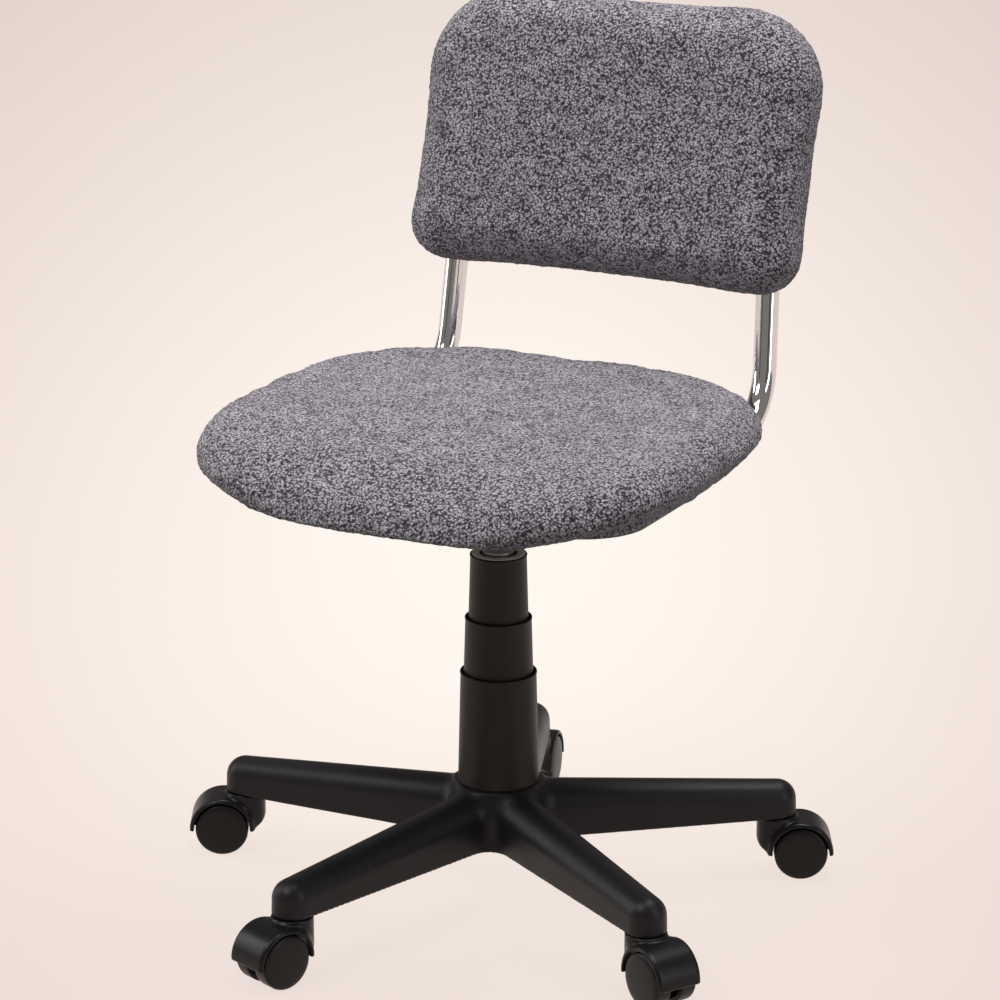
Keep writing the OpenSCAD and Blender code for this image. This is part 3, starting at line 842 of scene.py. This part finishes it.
@dataclass
class Caster:
    """A hooded twin-wheel caster, drawn with its pin at the origin and its trail along +X."""

    wardrobe: Wardrobe
    number: int
    hood_radius: float = 0.0305
    wheel_space: float = 0.0266
    web_half: float = 0.0052
    half_width: float = 0.0222
    neck_radius: float = 0.0188
    neck_corner: float = 0.0115
    neck_top: float = 0.0584
    wheel_inner: float = 0.0057
    wheel_outer: float = 0.0214
    wheel_radius: float = 0.025
    dome: float = 0.0016
    boss_radius: float = 0.012
    axle_bore: float = 0.0031
    stem_bore: float = 0.00505
    stem_bore_low: float = 0.0445
    recess_radius: float = 0.0084
    recess_depth: float = 0.0017

    def __post_init__(self) -> None:
        """Takes the caster's place and direction from the frame."""
        pin = joint_place(f"caster_{self.number}_swivel")
        wheel = joint_place(f"wheel_{self.number}_left_roll")
        run = Vector((wheel.x - pin.x, wheel.y - pin.y, 0.0))
        self.trail, self.axle_height = run.length, wheel.z
        turn = Matrix.Rotation(math.atan2(run.y, run.x), 4, "Z")
        self.place = Matrix.Translation((pin.x, pin.y, 0.0)) @ turn

    def shell(self, x: np.ndarray, y: np.ndarray, z: np.ndarray) -> np.ndarray:
        """Distance to the hood, the neck and the web between the wheels."""
        side = np.abs(y)
        rho = np.hypot(x - self.trail, z - self.axle_height)
        hood = trim(rho - self.hood_radius, side - self.half_width, 0.004)
        hood = trim(hood, self.axle_height - 0.0015 - z, 0.0015)
        low = self.axle_height + 0.001 + self.neck_corner
        across = np.maximum(self.neck_corner - self.neck_radius - x, 0.0)
        below = np.maximum(low - z, 0.0)
        corner = np.hypot(across, below) - self.neck_corner
        neck = trim(np.hypot(x, y) - self.neck_radius, z - self.neck_top, 0.0016)
        neck = trim(neck, corner, 0.002)
        body = melt(neck, hood, 0.005)
        room = np.maximum(rho - self.wheel_space, self.web_half - side)
        body = trim(body, -room, 0.0012)
        boss = trim(rho - self.boss_radius, side - self.web_half, 0.001)
        body = melt(body, boss, 0.002)
        body = np.maximum(body, self.axle_bore - rho)
        stem = np.minimum(self.stem_bore - np.hypot(x, y), self.stem_bore_low - z)
        seat = np.minimum(self.recess_radius - np.hypot(x, y), self.neck_top - self.recess_depth - z)
        return np.maximum(np.maximum(body, stem), seat)

    def wheel_outline(self) -> list:
        """Outline of a wheel: dished inside, with a tread, a rounded rim and a domed face."""
        r, low, high = self.wheel_radius, self.wheel_inner, self.wheel_outer
        tread, hub, face, bore = 0.0038, 0.0065, 0.0026, 0.00305
        return [
            (0.0, high - 0.0026), (bore, high - 0.0026), (bore, low), (hub, low),
            (hub, high - face), (r - tread, high - face), (r - tread, low),
            *arc((r - 0.0012, low + 0.0012), 0.0012, -90, 0, 4),
            *arc((r - 0.0030, high - 0.0030), 0.0030, 0, 72, 8),
            *[
                ((r - 0.0030) * math.cos(t), high - 0.0001 + self.dome * math.sin(t))
                for t in (0.30, 0.45, 0.65, 0.9, 1.15, 1.38)
            ],
            (0.0, high - 0.0001 + self.dome),
        ]

    def build(self) -> None:
        """Makes the shell and both wheels and fits them."""
        k = self.number
        far = self.trail + self.hood_radius + 0.007
        box = ((-0.022, -0.0265, 0.008), (far, 0.0265, 0.062))
        shell = cast_shape(f"caster_fork_{k}", self.shell, box, 0.0011)
        shell.data.transform(self.place)
        self.wardrobe.fit(shell, f"caster_{k}", Slot.CASTER, f"caster_body_{k}")
        for side in Side:
            name = f"wheel_{k}_{side.word}"
            turn = Matrix.Rotation(-side.value * math.pi / 2, 4, "X")
            place = self.place @ Matrix.Translation((self.trail, 0.0, self.axle_height)) @ turn
            wheel = lathe(f"caster_{name}", self.wheel_outline(), place)
            self.wardrobe.fit(wheel, name, Slot.WHEEL, name)


@dataclass
class ColumnCover:
    """The three-stage telescopic cover: thin tapering sleeves with rolled rims."""

    wardrobe: Wardrobe
    wall: float = 0.0018
    rim: float = 0.0011
    lid_hole: float = 0.0141
    ring_inner: float = 0.0172
    ring_outer: float = 0.0243
    ring_thick: float = 0.0007
    draft: dict = field(default_factory=lambda: {"lower": 0.0019, "middle": 0.0022, "upper": 0.0023})
    bodies: dict = field(default_factory=lambda: {"lower": "base", "middle": "cover_mid", "upper": "seat"})

    def outline(self, low: float, high: float, foot: float, draft: float, lid: float) -> list:
        """Outline of one sleeve.

        Args:
            low: height of its foot.
            high: height of its rim.
            foot: its radius at the foot.
            draft: how much it narrows.
            lid: radius of the hole in its lid, or 0 for an open top.

        Returns:
            The closed outline as (radius, height).
        """
        top, r = foot - draft, self.rim
        rim = arc((top - r, high - r), r, -20, 100, 8)
        outside = [(foot - 0.0006, low), (foot, low + 0.0006), (top - 0.0005, high - 2.6 * r), *rim]
        if lid:
            inside = [(top - 0.003, high - 0.0006), (lid + 0.004, high - 0.0004), (lid, high - 0.0012),
                      (lid, high - 0.003), (top - self.wall, high - 0.003)]
        else:
            inside = [(top - self.wall, high - 0.0012)]
        return [*outside, *inside, (foot - self.wall, low)]

    def build(self) -> None:
        """Makes and fits the three sleeves, and a pale ring on the top one that stands in for its lit lid: a
        painted highlight.
        """
        for stage, body in self.bodies.items():
            low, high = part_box(f"cover_{stage}")
            lid = self.lid_hole if stage == "upper" else 0.0
            outline = self.outline(low.z, high.z, high.x, self.draft[stage], lid)
            piece = lathe(f"cover_sleeve_{stage}", outline, Matrix.Identity(4), 128)
            self.wardrobe.fit(piece, body, Slot.COVER, f"cover_{stage}")
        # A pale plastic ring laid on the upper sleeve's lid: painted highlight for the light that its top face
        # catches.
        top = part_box("cover_upper")[1].z + 0.0001
        inner, outer, edge = self.ring_inner, self.ring_outer, self.ring_thick
        highlight_ring = [(inner, top), (outer, top), (outer, top + edge * 0.5), (outer - 0.0004, top + edge),
                  (inner + 0.0004, top + edge), (inner, top + edge * 0.5)]
        ring = lathe("cover_top_highlight_ring", highlight_ring, Matrix.Identity(4), 96)
        self.wardrobe.fit(ring, "seat", Slot.ACETAL)


# ---- upholstery ----


def remeshed(piece: bpy.types.Object, voxel: float) -> None:
    """Covers a closed mesh with even faces of one size."""
    even = piece.modifiers.new("even", "REMESH")
    even.mode = "VOXEL"
    even.voxel_size = voxel
    take_modifiers(piece)


def subdivided(piece: bpy.types.Object) -> None:
    """Splits every face in four, smoothly."""
    finer = piece.modifiers.new("finer", "SUBSURF")
    finer.levels = finer.render_levels = 1
    take_modifiers(piece)


def take_modifiers(piece: bpy.types.Object) -> None:
    """Applies a piece's modifiers to its mesh."""
    graph = bpy.context.evaluated_depsgraph_get()
    mesh = bpy.data.meshes.new_from_object(piece.evaluated_get(graph))
    piece.modifiers.clear()
    piece.data = mesh
    mesh.shade_smooth()


def inflate(
    piece: bpy.types.Object, held: np.ndarray, cap: float, pressure: float = 4.0, frames: int = 20
) -> None:
    """Swells a closed mesh as cloth under pressure.

    Args:
        piece: the mesh.
        held: the numbers of the points that stay.
        cap: how far a point may move.
        pressure: the pressure inside.
        frames: steps of the simulation.
    """
    rest = point_array(piece.data)
    piece.vertex_groups.new(name="held").add([int(i) for i in held], 1.0, "REPLACE")
    cloth = piece.modifiers.new("fill", "CLOTH")
    cloth.settings.quality = 4
    cloth.settings.use_pressure = True
    cloth.settings.uniform_pressure_force = pressure
    cloth.settings.vertex_group_mass = "held"
    cloth.settings.tension_stiffness = 18.0
    cloth.settings.compression_stiffness = 18.0
    cloth.settings.effector_weights.gravity = 0.0
    cloth.point_cache.frame_end = frames
    for number in range(1, frames + 1):
        bpy.context.scene.frame_set(number)
    graph = bpy.context.evaluated_depsgraph_get()
    moved = point_array(piece.evaluated_get(graph).data) - rest
    piece.modifiers.clear()
    piece.vertex_groups.clear()
    bpy.context.scene.frame_set(1)
    length = np.linalg.norm(moved, axis=1)
    scale = cap * np.tanh(length / cap) / np.maximum(length, 1e-9)
    put_points(piece.data, rest + moved * scale[:, None])


def raise_nap(piece: bpy.types.Object, curl: float = 0.0062, depth: float = 0.0011) -> None:
    """Lifts the curls and the hand-sized unevenness of the fleece out of a pad's surface.

    Args:
        piece: the pad.
        curl: size of a tuft of curls.
        depth: height of a tuft.
    """
    points, normals = point_array(piece.data), point_array(piece.data, "normal")
    lift = np.zeros(len(points))
    for i, p in enumerate(points):
        here = Vector(p)
        tuft = 0.5 - noise.voronoi(here / curl)[0][0]
        lift[i] = depth * (tuft + 0.5 * noise.noise(here / (curl * 0.6))) + 0.0009 * noise.noise(here / 0.055)
    put_points(piece.data, points + normals * lift[:, None])


@dataclass
class SeatPad:
    """The seat: a squarish pad with a full edge, a rolled front and a flat foot on its board."""

    wardrobe: Wardrobe
    width: float = 0.4819
    depth: float = 0.4398
    forward: float = 0.0230
    middle: float = 0.4442
    front_power: float = 3.28
    rear_power: float = 2.71
    above: float = 0.0258
    below: float = 0.0280
    top_inset: float = 0.0200
    low_inset: float = 0.0980
    edge_power: float = 1.69
    droop: float = 0.0299
    crown: float = 0.004
    slack: float = 0.0022
    voxel: float = 0.0046
    cap: float = 0.0060
    board_corner: float = 0.060
    turned: float = 0.0022

    def point(self, turn: float, level: float) -> tuple[float, float, float]:
        """A point of the pad's skin.

        Args:
            turn: direction round the pad, in radians.
            level: -1 underneath, 0 at the widest line, 1 on top; past 1 and -1 it closes in to the middle.

        Returns:
            The point, in the chair's frame.
        """
        c, s = math.cos(turn), math.sin(turn)
        power = self.front_power if s < 0 else self.rear_power
        out = (abs(c) ** power + abs(s) ** power) ** (-1.0 / power)
        t = min(abs(level), 1.0)
        closing = max(abs(level) - 1.0, 0.0)
        inset = self.top_inset if level > 0 else self.low_inset
        inset = inset * (1 - (1 - t**self.edge_power) ** (1 / self.edge_power)) + self.slack
        share = 1.0 - closing
        x = c * out * (self.width / 2 - inset) * share
        y = s * out * (self.depth / 2 - inset) * share
        z = (self.above - self.slack) * t if level > 0 else -(self.below - self.slack) * t
        if level > 1.0:
            z += self.crown * (1 - share**2)
        drop = self.droop * max(0.0, -y / (self.depth / 2)) ** 3
        return (x, y - self.forward, self.middle + z - drop)

    def skin(self) -> bpy.types.Object:
        """The pad before it is filled."""
        sides = 120
        levels = [-1.9, -1.6, -1.3, -1.1, -1.0]
        levels += [math.sin(math.pi / 2 * i / 12) for i in range(-11, 12)]
        levels += [1.0, 1.08, 1.2, 1.4, 1.6, 1.8, 1.9]
        points = [self.point(math.tau * i / sides, t) for t in levels for i in range(sides)]
        return add_mesh("seat_pad", points, tube_faces(len(levels), sides))

    def rest_on_board(self, piece: bpy.types.Object) -> None:
        """Brings the foot of the pad down to its board and keeps it out of the wood."""
        low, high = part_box("seat_board")
        points = point_array(piece.data)
        middle = (low + high) / 2
        across = np.abs(points[:, 0] - middle.x) - (high.x - low.x) / 2
        along = np.abs(points[:, 1] - middle.y) - (high.y - low.y) / 2
        out = np.maximum(across, along)
        under = points[:, 2] < self.middle - 0.012
        share = np.clip((0.010 - out) / 0.020, 0.0, 1.0)
        share = share * share * (3 - 2 * share)
        goal = high.z + 0.0003
        points[under, 2] += (share * (goal - points[:, 2]))[under]
        put_points(piece.data, points)

    def turn_in(self, piece: bpy.types.Object) -> None:
        """Adds the fabric that is pulled down round the board's edge and turned in under it."""
        low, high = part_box("seat_board")
        middle, half, thick = (low + high) / 2, (high - low) / 2, self.turned
        profile = [
            (0.0004, high.z + 0.003), (0.0004, low.z + 0.0006), (0.0, low.z - 0.00005),
            (-0.0042, low.z - 0.00005), (-0.0046, low.z - 0.0005), (-0.0040, low.z - thick * 0.45),
            (0.0002, low.z - thick * 0.62), (thick * 0.85, low.z + 0.0001), (thick + 0.0004, low.z + 0.0020),
            (thick + 0.0010, high.z + 0.003),
        ]
        ring = rounded_box_ring(half.x, half.y, self.board_corner, 22)
        points = [
            (middle.x + x + nx * off, middle.y + y + ny * off, z)
            for off, z in profile
            for x, y, nx, ny in ring
        ]
        hem = add_mesh("seat_hem", points, band_faces(len(profile), len(ring), closed=True))
        turn_outwards(hem)
        both = bmesh.new()
        both.from_mesh(piece.data)
        both.from_mesh(hem.data)
        both.to_mesh(piece.data)
        both.free()
        bpy.data.objects.remove(hem)

    def build(self) -> None:
        """Makes, fills and fits the pad."""
        piece = self.skin()
        remeshed(piece, self.voxel)
        self.rest_on_board(piece)
        foot = np.nonzero(point_array(piece.data)[:, 2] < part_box("seat_board")[1].z + 0.002)[0]
        inflate(piece, foot, self.cap)
        subdivided(piece)
        raise_nap(piece)
        self.turn_in(piece)
        self.wardrobe.fit(piece, "seat", Slot.FABRIC, "seat_cushion")


@dataclass
class BackPad:
    """The back: a rounded slab with fuller corners above, closed behind by a blind seam."""

    wardrobe: Wardrobe
    width: float = 0.4058
    height: float = 0.2703
    thick: float = 0.0635
    edge: float = 0.0280
    top_corner: float = 0.0821
    low_corner: float = 0.0400
    middle_y: float = 0.2412
    middle_z: float = 0.6682
    lean: float = 16.6
    slack: float = 0.0022
    voxel: float = 0.0046
    cap: float = 0.0060
    seam_inset: float = 0.013

    def place(self) -> Matrix:
        """Puts the back, drawn upright at the origin, in its place."""
        turn = Matrix.Rotation(-math.radians(self.lean), 4, "X")
        return Matrix.Translation((0.0, self.middle_y, self.middle_z)) @ turn

    def outline(self, x: np.ndarray, z: np.ndarray) -> np.ndarray:
        """Distance to the back's outline, seen from the front."""
        corner = np.where(z > 0, self.top_corner, self.low_corner)
        across, up = np.abs(x) - self.width / 2, np.abs(z) - self.height / 2
        return rounded_corner(across + corner, up + corner) - corner

    def shape(self, x: np.ndarray, y: np.ndarray, z: np.ndarray) -> np.ndarray:
        """Distance to the pad before it is filled."""
        across = self.outline(x, z) + self.edge
        return rounded_corner(across, np.abs(y) - self.thick / 2 + self.edge) - self.edge + self.slack

    def sew(self, piece: bpy.types.Object) -> None:
        """Draws in the blind seam that runs round the rear face."""
        points = point_array(piece.data)
        groove = np.abs(self.outline(points[:, 0], points[:, 2]) + self.seam_inset + 0.004)
        behind = points[:, 1] > self.thick * 0.2
        depth = 0.0022 * np.exp(-((groove / 0.0022) ** 2)) * behind
        points[:, 1] -= depth
        put_points(piece.data, points)

    def build(self) -> None:
        """Makes, fills and fits the pad."""
        half = (self.width / 2 + 0.01, self.thick / 2 + 0.01, self.height / 2 + 0.01)
        piece = cast_shape("back_pad", self.shape, ([-h for h in half], half), self.voxel)
        inflate(piece, np.array([], int), self.cap)
        subdivided(piece)
        self.sew(piece)
        raise_nap(piece)
        piece.data.transform(self.place())
        self.wardrobe.fit(piece, "seat", Slot.FABRIC, "back_cushion", "back_rear_pad")


BOX_FACES = ((0, 1, 3, 2), (4, 6, 7, 5), (0, 4, 5, 1), (2, 3, 7, 6), (0, 2, 6, 4), (1, 5, 7, 3))


@dataclass
class DustCloth:
    """The thin cloth stapled under the seat board."""

    wardrobe: Wardrobe
    thick: float = 0.0006
    ripple: float = 0.0002
    staples: int = 11

    def __post_init__(self) -> None:
        """Takes the cloth's place from the frame."""
        low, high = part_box("dust_cover")
        self.low, self.high = low, high
        self.middle = (low + high) / 2
        self.half = (high - low) / 2

    def height(self, x: float, y: float) -> float:
        """How far the cloth has rippled at a place."""
        return self.ripple * math.sin(x * 70 + 3 * math.sin(y * 30)) * math.sin(y * 55)

    def build(self) -> None:
        """Makes the cloth and its staples and fits them."""
        rings, sides, points = 26, 144, []
        for k in range(1, rings + 1):
            for i in range(sides):
                a = math.tau * i / sides
                power = 7.0
                out = (abs(math.cos(a)) ** power + abs(math.sin(a)) ** power) ** (-1 / power) * k / rings
                x, y = self.half.x * out * math.cos(a), self.half.y * out * math.sin(a)
                points.append((x + self.middle.x, y + self.middle.y, self.middle.z + self.height(x, y)))
        faces = band_faces(rings, sides)
        points.append((self.middle.x, self.middle.y, self.middle.z))
        faces += [(len(points) - 1, (i + 1) % sides, i) for i in range(sides)]
        cloth = add_mesh("dust_cloth", points, faces)
        turn_outwards(cloth)
        thick = cloth.modifiers.new("thick", "SOLIDIFY")
        thick.thickness = self.thick
        thick.offset = 0.0
        take_modifiers(cloth)
        self.wardrobe.fit(cloth, "seat", Slot.CLOTH, "dust_cover")
        self.build_staples()

    def build_staples(self) -> None:
        """Makes the row of staples along each side of the cloth."""
        points, faces = [], []
        drop, crown, wire = self.low.z - 0.0004, 0.005, 0.0005
        for side in (-1, 1):
            for i in range(self.staples):
                share = (i - (self.staples - 1) / 2) / (self.staples - 1) * 1.45
                for x, y, along in (
                    (share * self.half.x, side * (self.half.y - 0.009), (1, 0)),
                    (side * (self.half.x - 0.009), share * self.half.y, (0, 1)),
                ):
                    first = len(points)
                    for a in (-crown, crown):
                        for b in (-wire, wire):
                            for c in (-wire, wire):
                                points.append((
                                    self.middle.x + x + along[0] * a + along[1] * b,
                                    self.middle.y + y + along[1] * a + along[0] * b,
                                    drop + c,
                                ))
                    faces += [[first + n for n in quad] for quad in BOX_FACES]
        piece = add_mesh("dust_cloth_staples", points, faces, 30.0)
        turn_outwards(piece)
        self.wardrobe.fit(piece, "seat", Slot.STEEL)


# ---- metalwork ----


@dataclass
class BackPost:
    """A chromed tube that runs out between board and foam, bends up and goes into the back."""

    wardrobe: Wardrobe
    side: Side
    radius: float = 0.011
    bend: float = 0.060
    lean: float = 8.0
    back_lean: float = 16.5
    splay: float = 2.3
    spacing: float = 0.332
    start: float = 0.020
    inside_back: float = 0.150
    back_y: float = 0.248
    back_z: float = 0.668
    back_height: float = 0.271
    behind_middle: float = 0.0175
    lift: float = 0.00002

    def centre_line(self) -> list[Vector]:
        """The tube's centre line, in the chair's frame."""
        lean, kink = math.radians(self.lean), math.radians(self.back_lean)
        run_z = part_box("seat_board")[1].z + self.radius + self.lift
        entry_z = self.back_z - (self.back_height / 2 - 0.006) * math.cos(kink)
        entry_y = self.back_y - (self.back_z - entry_z) * math.tan(kink) + self.behind_middle / math.cos(kink)
        rise = entry_z - run_z
        corners = [
            Vector((0, self.start, 0)),
            Vector((0, entry_y - rise * math.tan(lean), 0)),
            Vector((0, entry_y, rise)),
            Vector((0, entry_y, rise)) + Vector((0, math.sin(kink), math.cos(kink))) * self.inside_back,
        ]
        sign = self.side.value
        place = Matrix.Translation((sign * self.spacing / 2, 0, run_z))
        place = place @ Matrix.Rotation(-sign * math.radians(self.splay), 4, "Y")
        return [place @ p for p in rounded_path(corners, (self.bend, self.bend), 28)]

    def build(self) -> None:
        """Makes and fits the tube."""
        name = f"back_post_{self.side.word}"
        piece = sweep(f"{name}_tube", self.centre_line(), self.radius, 0.0008, 56)
        self.wardrobe.fit(piece, "seat", Slot.CHROME, name)


@dataclass
class HeightLever:
    """The bent rod that works the lift, and its moulded paddle."""

    wardrobe: Wardrobe
    radius: float = 0.004
    bend: float = 0.014
    tip_x: float = 0.003
    knee_x: float = -0.062
    low_x: float = -0.120
    end_x: float = -0.205
    high_z: float = 0.380
    low_z: float = 0.362

    def paddle_shape(self, x: np.ndarray, y: np.ndarray, z: np.ndarray) -> np.ndarray:
        """Distance to the paddle: a flattened pebble, thinner outwards."""
        u = (x - self.end_x - 0.014) / 0.037
        v = y / (0.0108 - 0.0015 * u)
        w = (z - self.low_z) / (0.0056 + 0.0006 * u)
        return (np.abs(u) ** 4 + np.abs(v) ** 3 + np.abs(w) ** 3 - 1.0) * 0.0035

    def build(self) -> None:
        """Makes and fits the rod and the paddle."""
        corners = [
            Vector((self.tip_x, 0, self.high_z)),
            Vector((self.knee_x, 0, self.high_z)),
            Vector((self.low_x, 0, self.low_z)),
            Vector((self.end_x, 0, self.low_z)),
        ]
        rod = sweep("lever_rod", rounded_path(corners, (self.bend, self.bend)), self.radius, 0.0006, 32)
        self.wardrobe.fit(rod, "lever", Slot.STEEL, "lift_lever")
        box = ((-0.236, -0.016, 0.352), (-0.146, 0.016, 0.372))
        paddle = cast_shape("lever_paddle", self.paddle_shape, box, 0.0011)
        self.wardrobe.fit(paddle, "lever", Slot.CASTER, "lever_handle")


# ---- studio ----


@dataclass
class Studio:
    """A pale floor, soft lights and the camera."""

    distance: float = 3.4461
    height: float = 1.4207
    turn: float = 27.06
    pitch: float = 16.805
    lens: float = 143.81
    floor_size: float = 60.0
    shift: float = 0.0015
    floor_glow: float = 0.95
    sky_strength: float = 0.22

    def floor_material(self) -> bpy.types.Material:
        """A warm pale floor that glows a little more in the middle of the view."""
        g = Graph("studio_floor")
        window = g.node("ShaderNodeTexCoord", {}, {}, "Window")
        ends = {"Vector": window, "Vector_001": (0.5, 0.5, 0.0)}
        middle = g.node("ShaderNodeVectorMath", {"operation": "SUBTRACT"}, ends, "Vector")
        away = g.node("ShaderNodeVectorMath", {"operation": "LENGTH"}, {"Vector": middle}, "Value")
        share = ((away - 0.12) * 1.75).at_least(0.0).at_most(1.0)
        texture = g.grain(35.0, 3.0)
        return g.surface(
            {
                "Base Color": (0.07, 0.063, 0.06, 1),
                "Roughness": texture * 0.1 + 0.85,
                "Specular IOR Level": 0.1,
                "Emission Color": g.between(share, (0.98, 0.90, 0.83, 1), (0.79, 0.67, 0.63, 1)),
                "Emission Strength": self.floor_glow,
            }
        )

    def panel(self, name: str, place: Sequence[float], size: Sequence[float], aim: Vector, power: float,
              tint: Sequence[float] = (1, 1, 1)) -> None:
        """Adds one soft light.

        Args:
            name: its name.
            place: where it stands.
            size: its width and height.
            aim: what it points at.
            power: its power in watts.
            tint: its colour.
        """
        data = bpy.data.lights.new(name, "AREA")
        data.shape = "RECTANGLE"
        data.size, data.size_y = size
        data.energy = power
        data.color = tint
        lamp = bpy.data.objects.new(name, data)
        lamp.location = place
        lamp.rotation_euler = (aim - Vector(place)).to_track_quat("-Z", "Y").to_euler()
        bpy.context.scene.collection.objects.link(lamp)

    def flag(self, name: str, place: Sequence[float], size: Sequence[float], turn: float) -> None:
        """Adds a dark board that shows only in reflections.

        Args:
            name: its name.
            place: its middle.
            size: its width and height.
            turn: which way it faces, in degrees.
        """
        w, h = size[0] / 2, size[1] / 2
        board = add_mesh(name, [(-w, 0, -h), (w, 0, -h), (w, 0, h), (-w, 0, h)], [(0, 1, 2, 3)])
        board.matrix_world = Matrix.Translation(place) @ Matrix.Rotation(math.radians(turn), 4, "Z")
        g = Graph(name)
        dull = g.grain(5.0) * 0.1 + 0.9
        board.data.materials.append(g.surface({"Base Color": (0.01, 0.01, 0.01, 1), "Roughness": dull}))
        board.visible_camera = board.visible_diffuse = board.visible_shadow = False

    def build(self) -> None:
        """Sets up the floor, the lights and the camera."""
        scene = bpy.context.scene
        half = self.floor_size / 2
        corners = [(-half, -half, 0), (half, -half, 0), (half, half, 0), (-half, half, 0)]
        floor = add_mesh("studio_floor", corners, [(0, 1, 2, 3)])
        floor.data.materials.append(self.floor_material())
        floor.visible_diffuse = False
        world = bpy.data.worlds.new("studio")
        world.use_nodes = True
        sky = world.node_tree.nodes["Background"]
        sky.inputs["Color"].default_value = (0.93, 0.86, 0.82, 1)
        sky.inputs["Strength"].default_value = self.sky_strength
        scene.world = world
        aim = Vector((0, 0, 0.42))
        self.panel("key", (-1.0, -1.9, 3.0), (1.2, 1.2), aim, 52, (1, 0.985, 0.97))
        self.panel("overhead", (0.2, 0.5, 3.0), (2.2, 1.6), aim, 84)
        self.panel("left_strip", (-2.4, -0.6, 1.2), (0.5, 1.8), aim, 18)
        self.panel("right_strip", (2.5, -0.4, 1.0), (0.4, 1.6), aim, 12)
        self.flag("dark_board_left", (-1.2, -2.9, 0.9), (0.5, 2.4), 20)
        self.flag("dark_board_right", (2.6, -1.9, 0.9), (0.5, 2.4), 60)
        data = bpy.data.cameras.new("camera")
        data.sensor_width = 36.0
        data.lens = self.lens
        data.shift_x = self.shift
        data.clip_end = 100.0
        camera = bpy.data.objects.new("camera", data)
        turn = math.radians(self.turn)
        camera.location = (self.distance * math.sin(turn), -self.distance * math.cos(turn), self.height)
        camera.rotation_euler = (math.radians(90 - self.pitch), 0, turn)
        scene.collection.objects.link(camera)
        scene.camera = camera
        scene.view_settings.view_transform = "Standard"


# ---- chair ----


@dataclass
class Chair:
    """The whole chair: the new pieces, and the frame's own pieces with their finishes."""

    wardrobe: Wardrobe

    def dress_frame(self) -> None:
        """Gives each node of the frame the finish of its slot."""
        slots = {slot.word: slot for slot in Slot}
        for row in frame["record"]["subparts"]:
            self.wardrobe.dress(frame["nodes"][row["node"]], slots[row["material_slot"]])
            LOG.info("%s: %s", row["node"], row["material_slot"])

    def build(self) -> None:
        """Builds every sub-assembly in order."""
        self.dress_frame()
        BaseStar(self.wardrobe).build()
        for number in range(1, ARMS + 1):
            Caster(self.wardrobe, number).build()
        ColumnCover(self.wardrobe).build()
        HeightLever(self.wardrobe).build()
        for side in Side:
            BackPost(self.wardrobe, side).build()
        DustCloth(self.wardrobe).build()
        SeatPad(self.wardrobe).build()
        BackPad(self.wardrobe).build()


def main() -> None:
    """Builds the chair and its studio."""
    logging.basicConfig(level=logging.INFO, format="%(name)s: %(message)s")
    Studio().build()
    Chair(Wardrobe()).build()
    bpy.context.view_layer.update()


if __name__ == "__main__":
    main()
